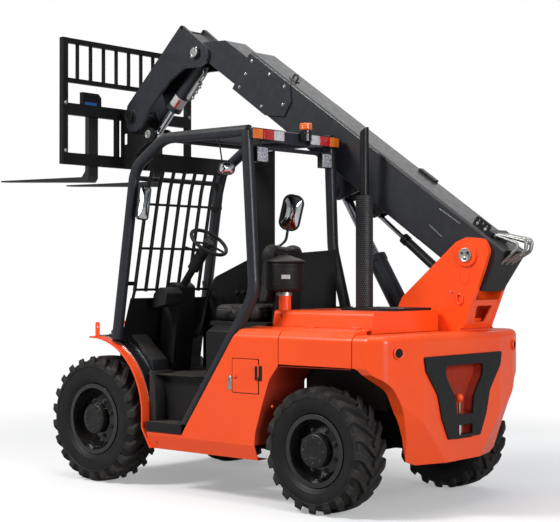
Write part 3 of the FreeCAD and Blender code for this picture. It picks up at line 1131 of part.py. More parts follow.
def mirrors():
    """Left mirror on the canopy pillar and right mirror on a stem from the right fender."""
    z = 1960
    left_arm = rod(V(pillar_x(z), CAB_LEFT_Y + CANOPY_TUBE / 2 + SEAT_GAP + 8, z), V(1540, 785, z), 8)
    left_head = plate_yz([(722, 1835, 12), (812, 1835, 12), (812, 2075, 12), (722, 2075, 12)], 1530, 1552)
    stem = bent_tube([V(2030, -650, FENDER_TOP_Z), V(2030, -650, 1450), V(1640, -860, 1720), V(1614, -865, 1860)], [120, 60], 22)
    right_head = plate_yz([(-965, 1800, 65), (-795, 1800, 65), (-795, 2090, 65), (-965, 2090, 65)], 1592, 1616)
    right_head.rotate(V(1604, -880, 0), Z_AXIS, -38)
    return [join([left_arm, left_head]), join([stem, right_head])]


def engine_block():
    return box(-250, 390, -60, 392, DECK_Z, 1060)


# ---------------------------------------------------------------- build
def build_all():
    add("chassis_frame", chassis())
    add("boom_bracket", boom_bracket())
    add("outer_boom", outer_boom())
    add("inner_boom", inner_boom())
    add("boom_head", boom_head())
    add("boom_pipes", boom_pipes())
    cylinders()
    add("carriage_bracket", carriage_bracket())
    add("fork_carriage", fork_carriage())
    add("forks", forks())
    wheels()
    add("steering_knuckle_left", knuckle(1))
    add("steering_knuckle_right", knuckle(-1))
    add("rear_axle", rear_axle())
    add("front_axle", front_axle())
    add("rear_counterweight", counterweight())
    add("bumper_insert", bumper_insert())
    add("tow_pin", tow_pin())
    add("engine_hood", engine_hood())
    add("hood_louvre", hood_louvre())
    add("left_side_panel", left_side_panel())
    add("fuel_door", fuel_door())
    add("engine_side_cover", engine_side_cover())
    add("right_side_cover", right_side_cover())
    add("engine_block", engine_block())
    add("cab_floor", cab_floor())
    add("front_fenders", front_fenders())
    add("arch_liners", arch_liners())
    add("canopy_frame", canopy_frame())
    add("canopy_roof", canopy_roof())
    add("front_guard", front_guard())
    add("right_wall", right_wall())
    add("seat_base", seat_base())
    add("seat_cushion", seat_cushion())
    add("seat_backrest", seat_backrest())
    add("control_console", control_console())
    add("steering_column", steering_column())
    add("steering_wheel", steering_wheel())
    add("exhaust_stack", exhaust_stack())
    add("roof_lights", roof_lights())
    add("mirrors", mirrors())


def export():
    os.makedirs("parts", exist_ok=True)
    for name, shape in NODES.items():
        moved = shape.copy()
        moved.translate(ORIGIN.negative())
        moved.exportStep("parts/" + name + ".step")
        print(name, len(moved.Solids), "solids", "valid" if moved.isValid() else "INVALID", round(moved.Volume / 1e6, 2))


if __name__ == "__main__":
    build_all()
    export()
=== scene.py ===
# %% [markdown]
# # Rough terrain forklift
#
# The machine is a compact telescopic handler: an open cab on the left, a telescopic boom on
# the right that pivots behind the operator, and a pallet fork carriage on the end of the boom.
# Its frame, panels, wheels and cylinders come from the CAD model. This lesson gives every one
# of them a finish, and models what a CAD model leaves plain: the tread of the tyres, the
# seat, the lamps, the bolts, the pin covers and the small fittings.

# %% Load the frame
import json
from math import copysign, cos, exp, hypot, pi, radians, sin

import bpy
from mathutils import Matrix, Vector

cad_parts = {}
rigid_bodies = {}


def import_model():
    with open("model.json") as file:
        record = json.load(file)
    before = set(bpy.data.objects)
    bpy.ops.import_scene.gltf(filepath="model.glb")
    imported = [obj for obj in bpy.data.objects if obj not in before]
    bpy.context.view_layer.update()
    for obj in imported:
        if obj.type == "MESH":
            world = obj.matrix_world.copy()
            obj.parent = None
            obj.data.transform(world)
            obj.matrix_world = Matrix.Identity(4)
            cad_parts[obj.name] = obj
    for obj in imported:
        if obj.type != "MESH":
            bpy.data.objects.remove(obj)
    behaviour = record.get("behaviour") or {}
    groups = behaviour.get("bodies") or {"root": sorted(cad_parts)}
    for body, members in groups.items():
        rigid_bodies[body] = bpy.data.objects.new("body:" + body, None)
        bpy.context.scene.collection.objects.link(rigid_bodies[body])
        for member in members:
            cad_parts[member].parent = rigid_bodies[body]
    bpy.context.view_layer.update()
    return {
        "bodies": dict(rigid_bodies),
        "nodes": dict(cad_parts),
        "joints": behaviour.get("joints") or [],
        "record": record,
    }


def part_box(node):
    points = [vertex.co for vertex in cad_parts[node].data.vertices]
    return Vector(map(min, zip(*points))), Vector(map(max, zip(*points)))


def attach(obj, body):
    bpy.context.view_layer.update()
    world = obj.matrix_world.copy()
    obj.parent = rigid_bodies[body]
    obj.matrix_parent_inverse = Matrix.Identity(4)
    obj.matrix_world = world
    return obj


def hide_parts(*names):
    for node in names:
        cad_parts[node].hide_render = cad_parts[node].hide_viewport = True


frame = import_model()
NODES = frame["nodes"]
JOINTS = {joint["name"]: joint for joint in frame["joints"]}

# %% [markdown]
# Everything is in metres, in the same frame as the CAD: +X is forward, +Y is the operator's
# left and +Z is up. Places are read from the boxes of the CAD nodes and from the joints, so a
# piece stays where it belongs if the CAD model changes.

# %% Places that are read from the frame
def low(node):
    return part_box(node)[0]


def high(node):
    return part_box(node)[1]


def middle(node):
    return (low(node) + high(node)) / 2


def pivot(joint):
    return Vector(JOINTS[joint]["pos_m"])


LEFT, UP, DOWN = Vector((0, 1, 0)), Vector((0, 0, 1)), Vector((0, 0, -1))
FORWARD, BACK = Vector((1, 0, 0)), Vector((-1, 0, 0))
BOOM_PIVOT = pivot("boom_lift")
CARRIAGE_PIVOT = pivot("carriage_tilt")
TILT_BASE = pivot("tilt_barrel_swing")
BOOM_Y = BOOM_PIVOT.y
BOOM_AXIS = Vector(JOINTS["boom_telescope"]["axis"]).normalized()
BOOM_UP = BOOM_AXIS.cross(LEFT)
# On the floor, under the line through the rear wheels, in the middle of the machine.
REAR_AXLE = Vector((pivot("rear_wheel_left_spin").x, middle("rear_axle").y, 0))
BOOM_SIDE = BOOM_Y - REAR_AXLE.y           # how far left of the machine's middle the boom is
SIDES = (("left", 1), ("right", -1))
print("boom pivot", [round(v, 3) for v in BOOM_PIVOT], "axle", [round(v, 4) for v in REAR_AXLE])


def at(x, y, z):
    """A point in the machine's own metres: forward of the rear axle, left of the middle, up."""
    return Vector((REAR_AXLE.x + x, REAR_AXLE.y + y, z))


def on_boom(along, side, over):
    """A point on the boom: along it from its pivot, sideways from its middle, above its axis."""
    return BOOM_PIVOT + BOOM_AXIS * along + Vector((0, side, 0)) + BOOM_UP * over


def beside(point, side):
    """A point moved sideways, to a distance left of the boom's middle."""
    return Vector((point.x, BOOM_Y + side, point.z))


# %% [markdown]
# ## Modelling helpers
#
# Each new piece is modelled the way it is done by hand: a primitive is added at its size and
# place, then faces and edges are picked and extruded, inset or bevelled in edit mode. With no
# window there is no mouse, so faces are picked by a test on their middle and their normal.

# %% Helpers: start a piece and pick its faces
def deselect():
    """Object mode with nothing selected. The CAD nodes are still selected after loading."""
    if bpy.context.object and bpy.context.object.mode != "OBJECT":
        bpy.ops.object.mode_set(mode="OBJECT")
    bpy.ops.object.select_all(action="DESELECT")


def only(piece):
    deselect()
    piece.select_set(True)
    bpy.context.view_layer.objects.active = piece


def settle(piece):
    """Puts the piece's place, turn and size in its mesh, as a CAD node's are."""
    only(piece)
    bpy.ops.object.transform_apply(location=True, rotation=True, scale=True)
    return piece


def named(name):
    """The piece that a primitive has just added, with its name."""
    piece = bpy.context.object
    piece.name = piece.data.name = name
    return piece


def start_box(name, corner_a, corner_b):
    deselect()
    lo = Vector(map(min, corner_a, corner_b))
    hi = Vector(map(max, corner_a, corner_b))
    bpy.ops.mesh.primitive_cube_add(size=1, location=(lo + hi) / 2)
    piece = named(name)
    piece.scale = hi - lo
    return settle(piece)


def start_round(name, start, end, radius, sides=24, tip_radius=None):
    """A round bar or a cone between two points."""
    deselect()
    start, end = Vector(start), Vector(end)
    along = end - start
    place = dict(location=(start + end) / 2, vertices=sides, depth=along.length)
    if tip_radius is None:
        bpy.ops.mesh.primitive_cylinder_add(radius=radius, **place)
    else:
        bpy.ops.mesh.primitive_cone_add(radius1=radius, radius2=tip_radius, **place)
    piece = named(name)
    piece.rotation_mode = "QUATERNION"
    piece.rotation_quaternion = along.to_track_quat("Z", "Y")
    return settle(piece)


def pick(piece, test, kind="FACE"):
    """Edit mode with the faces (or edges) picked whose middle and normal pass the test."""
    only(piece)
    mesh = piece.data
    for part in (mesh.vertices, mesh.edges, mesh.polygons):
        part.foreach_set("select", [False] * len(part))
    if kind == "FACE":
        for face in mesh.polygons:
            face.select = bool(test(face.center, face.normal))
    else:
        for edge in mesh.edges:
            a, b = (mesh.vertices[i].co for i in edge.vertices)
            edge.select = bool(test((a + b) / 2, (b - a).normalized()))
    bpy.ops.object.mode_set(mode="EDIT")
    bpy.ops.mesh.select_mode(type=kind)


def done(piece):
    bpy.ops.object.mode_set(mode="OBJECT")
    return piece


def inset(piece, way, *steps):
    """Insets the faces that look one way, once for each thickness and depth."""
    pick(piece, lambda middle, normal: normal.dot(way) > 0.9)
    for thickness, depth in steps:
        bpy.ops.mesh.inset(thickness=thickness, depth=depth)
    return done(piece)


def round_corners(piece, way, offset, segments, where=lambda middle: True):
    """Bevels the edges that lie along a direction, in the places that pass the test."""
    pick(piece, lambda middle, along: abs(along.dot(way)) > 0.9 and where(middle), "EDGE")
    bpy.ops.mesh.bevel(offset=offset, segments=segments)
    return done(piece)


def extrude(move):
    bpy.ops.mesh.extrude_region_move(TRANSFORM_OT_translate={"value": move})


def face_outward():
    """In edit mode: every face of the piece turned to look out."""
    bpy.ops.mesh.select_all(action="SELECT")
    bpy.ops.mesh.normals_make_consistent(inside=False)


def cut_away(piece, test):
    """Deletes the faces that pass the test."""
    pick(piece, test)
    bpy.ops.mesh.delete(type="FACE")
    return done(piece)


# %% Helpers: bevel, shade, copy and join
def modify(piece, kind, **values):
    only(piece)
    made = piece.modifiers.new(kind.lower(), kind)
    for key, value in values.items():
        setattr(made, key, value)
    bpy.ops.object.modifier_apply(modifier=made.name)
    return piece


def round_edges(piece, width=0.002, segments=2, angle=30.0):
    return modify(piece, "BEVEL", width=width, segments=segments, limit_method="ANGLE",
                  angle_limit=radians(angle), harden_normals=False)


def drill(piece, start, end, radius, sides):
    """A round hole from one point to another."""
    hole = start_round("hole", start, end, radius, sides)
    modify(piece, "BOOLEAN", operation="DIFFERENCE", object=hole, solver="EXACT")
    bpy.data.objects.remove(hole)


def smooth(piece, angle=35.0):
    only(piece)
    bpy.ops.object.shade_smooth_by_angle(angle=radians(angle))
    return piece


def copy_piece(piece, name, move):
    """A copy with its own mesh, moved by a matrix that is applied to the mesh."""
    twin = piece.copy()
    twin.data = piece.data.copy()
    twin.name = twin.data.name = name
    bpy.context.scene.collection.objects.link(twin)
    twin.data.transform(move)
    if move.determinant() < 0:
        twin.data.flip_normals()
    return twin


def join_pieces(pieces, name):
    only(pieces[0])
    for piece in pieces[1:]:
        piece.select_set(True)
    if len(pieces) > 1:
        bpy.ops.object.join()
    pieces[0].name = pieces[0].data.name = name
    return pieces[0]


def turn_about(point, axis, angle):
    point = Vector(point)
    return Matrix.Translation(point) @ Matrix.Rotation(angle, 4, Vector(axis)) @ Matrix.Translation(-point)


def place_at(point, towards, roll=0.0):
    """A matrix that carries +Z at the origin to a direction at a point."""
    turn = Vector(towards).to_track_quat("Z", "Y").to_matrix().to_4x4()
    return Matrix.Translation(Vector(point)) @ turn @ Matrix.Rotation(roll, 4, "Z")


# %% [markdown]
# Shaders are built from nodes. One class adds a node, sets its values and links its sockets in
# a single line, and has a short name for each sum and texture that comes back often.

# %% Helper: nodes and links in one line
class Nodes:
    """Fills an empty tree with nodes. A value given as a socket is linked, any other is set."""

    def __init__(self, tree):
        self.tree = tree
        tree.nodes.clear()

    def feed(self, node, values):
        for key, value in values.items():
            if isinstance(value, bpy.types.NodeSocket):
                self.tree.links.new(value, node.inputs[key])
            else:
                node.inputs[key].default_value = value
        return node

    def add(self, kind, inputs=None, **settings):
        node = self.tree.nodes.new("ShaderNode" + kind)
        for key, value in settings.items():
            setattr(node, key, value)
        return self.feed(node, inputs or {})

    def group(self, name, **inputs):
        return self.add("Group", inputs, node_tree=bpy.data.node_groups[name]).outputs

    def math(self, operation, a, b=0.0, clamp=False):
        return self.add("Math", {0: a, 1: b}, operation=operation, use_clamp=clamp).outputs[0]

    def times(self, a, b, clamp=False):
        return self.math("MULTIPLY", a, b, clamp)

    def plus(self, a, b, clamp=False):
        return self.math("ADD", a, b, clamp)

    def mix(self, factor, a, b):
        return self.add("Mix", {0: factor, 6: a, 7: b}, data_type="RGBA").outputs[2]

    def span(self, value, start, end, out_start=0.0, out_end=1.0):
        return self.add("MapRange", {0: value, 1: start, 2: end, 3: out_start, 4: out_end}).outputs[0]

    def place(self):
        return self.add("TexCoord").outputs["Object"]

    def noise(self, where, scale, detail, rough):
        values = {"Vector": where, "Scale": scale, "Detail": detail, "Roughness": rough}
        return self.add("TexNoise", values).outputs["Fac"]

    def clouds(self, where, noise, start, end, out_start=0.0, out_end=1.0):
        """Noise with its contrast raised; the noise is (scale, detail, roughness)."""
        return self.span(self.noise(where, *noise), start, end, out_start, out_end)

    def bump(self, depth, height, **base):
        return self.add("Bump", {"Strength": 1.0, "Distance": depth, "Height": height, **base}).outputs[0]


# %% [markdown]
# ## Camera, light and floor
#
# The camera stands behind the machine on its left, low down, and looks level. A long lens from
# far away keeps the boom from being stretched. One large soft light stands for the sky on the
# operator's side, a weaker one fills the rear, and the floor is plain and pale.

# %% Camera
camera = bpy.data.objects.new("camera", bpy.data.cameras.new("camera"))
bpy.context.scene.collection.objects.link(camera)
CAMERA_PLACE = Vector((-6.744, 7.193, 1.4693))
CAMERA_WAY = Vector((0.6538, -0.7566, 0.0094))
camera.location = CAMERA_PLACE
camera.rotation_mode = "QUATERNION"
camera.rotation_quaternion = CAMERA_WAY.to_track_quat("-Z", "Y")
camera.data.sensor_width = 36.0         # mm, as the lens is
camera.data.lens = 86.16
camera.data.clip_end = 200.0
bpy.context.scene.camera = camera
bpy.context.scene.view_settings.view_transform = "Standard"


# %% Lights: each is aimed at the middle of the machine
MACHINE_MIDDLE = Vector((0, 0, 1.2))


def add_area_light(name, place, size, watts, colour=(1.0, 1.0, 1.0)):
    light = bpy.data.objects.new(name, bpy.data.lights.new(name, "AREA"))
    bpy.context.scene.collection.objects.link(light)
    light.location = place
    light.rotation_mode = "QUATERNION"
    light.rotation_quaternion = (MACHINE_MIDDLE - Vector(place)).to_track_quat("-Z", "Y")
    light.data.shape = "RECTANGLE"
    light.data.size, light.data.size_y = size
    light.data.energy = watts
    light.data.color = colour


add_area_light("sun_left", (3.0, 7.5, 8.0), (2.4, 2.4), 1080, (1.0, 0.985, 0.96))
add_area_light("sky_top", (-1.5, 0.5, 9.0), (6.0, 6.0), 260)
add_area_light("fill_rear", (-9.5, 2.5, 3.0), (4.0, 3.5), 470, (0.95, 0.97, 1.0))
add_area_light("fill_right", (1.8, -7.0, 7.0), (6.0, 4.0), 105)

# %% [markdown]
# The background has to look white and still light the machine softly, so the world is white to
# the camera, and a weak, pale blue to everything else.

# %% World: white to the camera, pale blue to every surface
world = bpy.data.worlds.new("studio")
bpy.context.scene.world = world
world.use_nodes = True
nodes = Nodes(world.node_tree)
seen = nodes.add("Background", {"Color": (1, 1, 1, 1), "Strength": 1.0})
around = nodes.add("Background", {"Color": (0.88, 0.94, 1.0, 1), "Strength": 0.26})
paths = nodes.add("LightPath").outputs
direct = nodes.math("MAXIMUM", paths["Is Camera Ray"], paths["Is Transmission Ray"])
both = nodes.add("MixShader", {0: direct, 1: around.outputs[0], 2: seen.outputs[0]})
nodes.add("OutputWorld", {"Surface": both.outputs[0]})

# %% [markdown]
# The floor is a large plane that keeps the machine's soft shadow: nearly white to the camera,
# and greyer to everything else. To the camera it fades, a few metres out, into the same plain
# white as the world behind it, so that no horizon shows.

# %% Floor
deselect()
bpy.ops.mesh.primitive_plane_add(size=160, location=(0, 0, 0))
floor = bpy.context.object
floor.name = "floor"
paint = bpy.data.materials.new("studio_floor")
paint.use_nodes = True
nodes = Nodes(paint.node_tree)
paths = nodes.add("LightPath").outputs
tone = nodes.mix(paths["Is Camera Ray"], (0.28, 0.28, 0.29, 1), (0.84, 0.84, 0.85, 1))
matt = nodes.add("BsdfPrincipled", {"Base Color": tone, "Roughness": 0.85, "Specular IOR Level": 0.2})
glow = nodes.add("Emission")
away = nodes.add("VectorMath", {0: nodes.place()}, operation="LENGTH").outputs["Value"]
fade = nodes.add("MapRange", {0: away, 1: 2.2, 2: 5.5, 3: 0.32, 4: 1.0}, interpolation_type="SMOOTHSTEP")
direct = nodes.math("MAXIMUM", paths["Is Camera Ray"], paths["Is Transmission Ray"])
direct = nodes.math("MAXIMUM", direct, nodes.times(paths["Is Glossy Ray"], 0.45))
share = nodes.times(direct, fade.outputs[0])
both = nodes.add("MixShader", {0: share, 1: matt.outputs[0], 2: glow.outputs[0]})
nodes.add("OutputMaterial", {"Surface": both.outputs[0]})
floor.data.materials.append(paint)

# %% [markdown]
# ## Materials
#
# A working machine's paint isn't one colour. It has a faint orange peel, it is duller and paler
# where dust lies on upward faces and low down, and it is rubbed along its edges. Those effects
# are the same on each paint, so each is a node group with its own inputs, placed in every
# material that needs it. Patterns are laid out in object coordinates, in metres.

# %% Helpers: node groups and colours
def new_group(name, inputs, outputs):
    group = bpy.data.node_groups.new(name, "ShaderNodeTree")
    for label, kind, value in inputs:
        socket = group.interface.new_socket(label, in_out="INPUT", socket_type="NodeSocket" + kind)
        if value is not None:
            socket.default_value = value
    for label, kind in outputs:
        group.interface.new_socket(label, in_out="OUTPUT", socket_type="NodeSocket" + kind)
    nodes = Nodes(group)
    return nodes, group.nodes.new("NodeGroupInput").outputs, group.nodes.new("NodeGroupOutput")


def rgb(*seen):
    """A colour as it is seen on screen, 0 to 255, made linear."""
    return tuple((v / 255 / 12.92) if v <= 10 else ((v / 255 + 0.055) / 1.055) ** 2.4 for v in seen) + (1.0,)


def dimmed(colour, factor):
    return tuple(v * factor for v in colour[:3]) + (1,)


# %% [markdown]
# The Bevel node looks a few millimetres around each point for other faces. Its normal rounds
# the sharp edges of the CAD panels, and where it leans away from the true normal there is an
# edge, which is where paint rubs through first.

# %% Group: edges
nodes, given, end = new_group("edges", [("Radius", "Float", 0.004), ("Wear", "Float", 0.5)],
                              [("Mask", "Float"), ("Normal", "Vector")])
where = nodes.place()
rounded = nodes.add("Bevel", {"Radius": given["Radius"]}, samples=5).outputs[0]
true = nodes.add("NewGeometry").outputs["True Normal"]
lean = nodes.add("VectorMath", {0: rounded, 1: true}, operation="DOT_PRODUCT").outputs["Value"]
patches = nodes.clouds(where, (9.0, 5.0, 0.7), 0.42, 0.68)
chips = nodes.clouds(where, (130.0, 3.0, 0.6), 0.42, 0.6)
broken = nodes.times(nodes.span(lean, 0.97, 0.72), nodes.times(patches, chips))
nodes.feed(end, {"Mask": nodes.times(broken, given["Wear"], clamp=True), "Normal": rounded})

# %% [markdown]
# Dust settles on faces that look up, and mud spray dulls what is near the ground. Both come
# from the height and the normal, broken up by two sizes of noise.

# %% Group: dust
nodes, given, end = new_group("dust", [("Amount", "Float", 0.5), ("Up", "Float", 0.6), ("Low", "Float", 0.5)],
                              [("Mask", "Float")])
where = nodes.place()
height = nodes.add("SeparateXYZ", {0: where}).outputs["Z"]
facing = nodes.add("SeparateXYZ", {0: nodes.add("NewGeometry").outputs["True Normal"]}).outputs["Z"]
clouds = nodes.clouds(where, (3.5, 7.0, 0.62), 0.3, 0.72)
specks = nodes.clouds(where, (60.0, 6.0, 0.7), 0.35, 0.75)
up = nodes.times(nodes.span(facing, 0.2, 0.95), given["Up"])
near_ground = nodes.times(nodes.span(height, 1.15, 0.15), given["Low"])
film = nodes.plus(nodes.plus(up, near_ground), 0.12)
total = nodes.times(film, nodes.plus(clouds, nodes.times(specks, 0.45)))
nodes.feed(end, {"Mask": nodes.times(total, given["Amount"], clamp=True)})

# %% [markdown]
# Sprayed enamel dries with a fine waviness called orange peel. Cast and blasted surfaces are
# coarser. One group makes both, with the size and depth of the grain as inputs, and adds it to
# the rounded normal from the edges group.

# %% Group: surface grain
nodes, given, end = new_group(
    "grain", [("Size", "Float", 300.0), ("Depth", "Float", 0.0003), ("Base", "Vector", None)],
    [("Normal", "Vector"), ("Height", "Float")])
where = nodes.place()
fine = nodes.noise(where, given["Size"], 3.0, 0.5)
height = nodes.plus(fine, nodes.times(nodes.noise(where, 14.0, 2.0, 0.5), 1.5))
nodes.feed(end, {"Normal": nodes.bump(given["Depth"], height, Normal=given["Base"]), "Height": fine})

# %% [markdown]
# A paint is one material: its colour, a slightly different shade in large soft clouds, the
# dust, and primer or bare steel where the edges are rubbed. A clear coat gives the gloss. Each
# paint differs only in the values it hands to the groups.

# %% Paints
def start_material(name):
    """A material with its shader, and the object coordinates that its patterns are laid out in."""
    material = bpy.data.materials.new(name)
    material.use_nodes = True
    nodes = Nodes(material.node_tree)
    shader = nodes.add("BsdfPrincipled")
    nodes.add("OutputMaterial", {"Surface": shader.outputs[0]})
    return material, nodes, shader, nodes.place()


DUST = rgb(172, 160, 142)


def make_paint(name, colour, shade, worn, rough=0.32, coat=0.35, dust=0.5, up=0.5, lows=0.5, wear=0.6,
               radius=0.004, grain=260.0, depth=0.00016, gloss=0.3):
    material, nodes, shader, where = start_material(name)
    edges = nodes.group("edges", Radius=radius, Wear=wear)
    dirt = nodes.group("dust", Amount=dust, Up=up, Low=lows)["Mask"]
    skin = nodes.group("grain", Size=grain, Depth=depth, Base=edges["Normal"])
    base = nodes.mix(nodes.clouds(where, (1.7, 5.0, 0.6), 0.35, 0.7), colour, shade)
    base = nodes.mix(edges["Mask"], base, worn)
    smears = nodes.clouds(where, (22.0, 6.0, 0.65), 0.35, 0.75, rough - 0.05, rough + 0.1)
    clean = nodes.math("SUBTRACT", 1.0, dirt, clamp=True)
    nodes.feed(shader, {"Base Color": nodes.mix(nodes.times(dirt, 0.55), base, DUST),
                        "Roughness": nodes.plus(smears, nodes.times(dirt, 0.4), clamp=True),
                        "Normal": skin["Normal"], "Coat Weight": nodes.times(clean, coat),
                        "Coat Roughness": 0.12, "Specular IOR Level": gloss})
    return material


ORANGE = make_paint("orange_paint", rgb(250, 80, 14), rgb(243, 72, 12), rgb(122, 62, 42), rough=0.32, coat=0.3,
                    dust=0.3, up=0.35, lows=0.25, wear=0.3)
# The charcoal's dust on upward faces is set high: it is dust, and also painted light that makes the boom's top face
# paler, as light from above falls on it.
CHARCOAL = make_paint("charcoal_paint", rgb(38, 41, 47), rgb(30, 33, 38), rgb(112, 116, 120), rough=0.36,
                      coat=0.15, gloss=0.25, dust=0.25, up=0.75, lows=0.1, wear=0.3)
BLACK = make_paint("black_paint", rgb(17, 18, 20), rgb(11, 12, 13), rgb(80, 81, 83), rough=0.42, coat=0.08, gloss=0.2,
                   dust=0.16, up=0.35, lows=0.15, wear=0.3)
RIM = make_paint("rim_paint", rgb(13, 13, 15), rgb(8, 8, 10), rgb(70, 70, 72), rough=0.18, coat=0.7, gloss=0.3,
                 dust=0.10, up=0.2, lows=0.2, wear=0.25, radius=0.003)
FORK = make_paint("fork_paint", rgb(33, 34, 36), rgb(25, 26, 28), rgb(140, 138, 134), rough=0.38, coat=0.25,
                  dust=0.35, up=0.4, lows=0.2, wear=0.9, radius=0.006)
CAST = make_paint("cast_iron", rgb(40, 40, 41), rgb(30, 30, 31), rgb(88, 82, 76), rough=0.65, coat=0.0,
                  dust=0.6, wear=0.4, grain=90.0, depth=0.0012)
# Painted shade: a darker, duller orange for the faces in the counterweight's pocket and inside the rear arches, where
# shade falls.
ORANGE_PAINTED_SHADE = make_paint("orange_painted_shade", rgb(168, 40, 12), rgb(140, 32, 10), rgb(96, 50, 36), rough=0.55,
                          coat=0.0, gloss=0.15, dust=0.35, up=0.3, lows=0.5, wear=0.2)
WELD = make_paint("painted_weld", rgb(92, 96, 102), rgb(70, 74, 79), rgb(150, 152, 154), rough=0.3, coat=0.3,
                  dust=0.1, wear=0.4, radius=0.001, grain=500.0, depth=0.0003)
COVER_BLACK = make_paint("cover_black", rgb(31, 34, 39), rgb(22, 24, 28), rgb(70, 72, 74), rough=0.4, coat=0.1,
                         gloss=0.22, dust=0.35, up=0.6, lows=0.3, wear=0.2)
HUB_COVER = make_paint("hub_cover_paint", rgb(19, 20, 22), rgb(13, 14, 15), rgb(80, 80, 82), rough=0.4, coat=0.1,
                       dust=0.2, lows=0.1, wear=0.6, radius=0.0015, grain=150.0, depth=0.0005)
RIM_NUT = make_paint("rim_nut", rgb(24, 24, 27), rgb(20, 20, 22), rgb(130, 130, 130), rough=0.35, coat=0.2,
                     dust=0.3, wear=0.7, radius=0.0015)

# %% [markdown]
# ## Bare metal, rubber, plastic and glass
#
# Rods are hard chrome, most bolts and fittings are zinc plated, and the pipes are duller. A
# metal's colour is nearly grey and its look comes from what it mirrors, so the work goes into
# the roughness: fine turning marks, fingerprints and a little oil.

# %% Bare metals
def make_metal(name, colour, rough=0.25, spread=0.15, stretch=(1, 1, 1), dust=0.15):
    material, nodes, shader, where = start_material(name)
    marks = nodes.noise(nodes.add("Mapping", {"Vector": where, "Scale": stretch}).outputs[0], 60.0, 5.0, 0.65)
    smears = nodes.clouds(where, (9.0, 5.0, 0.6), 0.35, 0.7)
    edges = nodes.group("edges", Radius=0.0015, Wear=0.4)
    dirt = nodes.group("dust", Amount=dust, Up=0.6, Low=0.3)["Mask"]
    tone = nodes.mix(smears, colour, dimmed(colour, 0.72))
    dull = nodes.plus(nodes.span(marks, 0.3, 0.75, rough, rough + spread), dirt, clamp=True)
    nodes.feed(shader, {"Base Color": nodes.mix(dirt, tone, DUST), "Roughness": dull,
                        "Metallic": nodes.math("SUBTRACT", 1.0, dirt, clamp=True),
                        "Normal": nodes.bump(0.0001, marks, Normal=edges["Normal"])})
    return material


CHROME = make_metal("chrome", rgb(214, 217, 222), rough=0.07, spread=0.08, stretch=(1, 40, 1), dust=0.06)
ZINC = make_metal("zinc_plate", rgb(196, 198, 196), rough=0.26, spread=0.2, dust=0.15)
PIPE = make_metal("pipe_zinc", rgb(158, 160, 158), rough=0.34, spread=0.2, dust=0.3)
HUB_STEEL = make_metal("hub_steel", rgb(74, 76, 78), rough=0.3, spread=0.25, dust=0.25)

# %% [markdown]
# Tyre rubber is never jet black. The side wall is a smooth charcoal with a slight sheen; the
# bars are scuffed, and dry soil stays on them and in the corners at their feet.

# %% Rubber
def make_rubber(name, colour, soil, soiled, rough, grain=240.0, depth=0.0004):
    material, nodes, shader, where = start_material(name)
    edges = nodes.group("edges", Radius=0.003, Wear=0.5)
    skin = nodes.group("grain", Size=grain, Depth=depth, Base=edges["Normal"])
    patches = nodes.clouds(where, (12.0, 7.0, 0.68), 0.36, 0.66)
    specks = nodes.clouds(where, (90.0, 5.0, 0.7), 0.4, 0.7)
    amount = nodes.times(nodes.plus(patches, nodes.times(specks, 0.5)), soiled, clamp=True)
    base = nodes.mix(nodes.times(edges["Mask"], 0.6), nodes.mix(amount, colour, soil), dimmed(soil, 1.9))
    nodes.feed(shader, {"Base Color": base, "Normal": skin["Normal"], "Specular IOR Level": 0.18,
                        "Roughness": nodes.plus(rough, nodes.times(amount, 0.2), clamp=True)})
    return material


SIDE_RUBBER = make_rubber("tyre_side_rubber", rgb(25, 25, 27), rgb(46, 45, 44), 0.3, 0.44)
TREAD_RUBBER = make_rubber("tyre_tread_rubber", rgb(31, 31, 31), rgb(62, 59, 55), 0.55, 0.66, grain=150.0,
                           depth=0.0008)
SKIN_RUBBER = make_rubber("fender_skin_rubber", rgb(17, 17, 19), rgb(40, 39, 38), 0.35, 0.5)
MAT_RUBBER = make_rubber("step_mat_rubber", rgb(32, 31, 30), rgb(82, 77, 70), 0.5, 0.7, grain=70.0, depth=0.002)

# %% [markdown]
# Plastic mouldings are etched in the mould with a fine leather-like grain. Vinyl on the seat has
# a coarser grain, made by the cells of a Voronoi texture, and it is glossier where it is sat on.

# %% Plastic and vinyl
def make_moulded(name, colour, rough=0.45, cells=420.0, depth=0.00025, coat=0.0, dust=0.35):
    material, nodes, shader, where = start_material(name)
    edges = nodes.group("edges", Radius=0.0025, Wear=0.3)
    dirt = nodes.group("dust", Amount=dust, Up=0.6, Low=0.2)["Mask"]
    pattern = {"Vector": where, "Scale": cells, "Randomness": 1.0}
    cell = nodes.add("TexVoronoi", pattern, feature="DISTANCE_TO_EDGE").outputs["Distance"]
    folds = nodes.clouds(where, (8.0, 4.0, 0.6), 0.3, 0.7)
    base = nodes.mix(folds, colour, dimmed(colour, 0.75))
    wiped = nodes.clouds(where, (5.0, 4.0, 0.6), 0.35, 0.7, rough - 0.08, rough + 0.12)
    nodes.feed(shader, {"Base Color": nodes.mix(nodes.times(dirt, 0.45), base, DUST),
                        "Roughness": nodes.plus(wiped, nodes.times(dirt, 0.35), clamp=True),
                        "Normal": nodes.bump(depth, nodes.span(cell, 0.0, 0.22), Normal=edges["Normal"]),
                        "Coat Weight": coat, "Coat Roughness": 0.2, "Specular IOR Level": 0.22})
    return material


PLASTIC = make_moulded("black_moulding", rgb(25, 25, 27), rough=0.45)
GLOSS_PLASTIC = make_moulded("gloss_moulding", rgb(20, 20, 22), rough=0.22, cells=200.0, depth=0.00004, coat=0.6)
VINYL = make_moulded("seat_vinyl", rgb(27, 25, 26), rough=0.42, cells=260.0, depth=0.0004, dust=0.3)

# %% [markdown]
# The lamps are clear plastic over coloured reflectors. A ribbed lens breaks up what is behind
# it, so the ribs are a bump, and the colour comes from the base with a glossy coat.

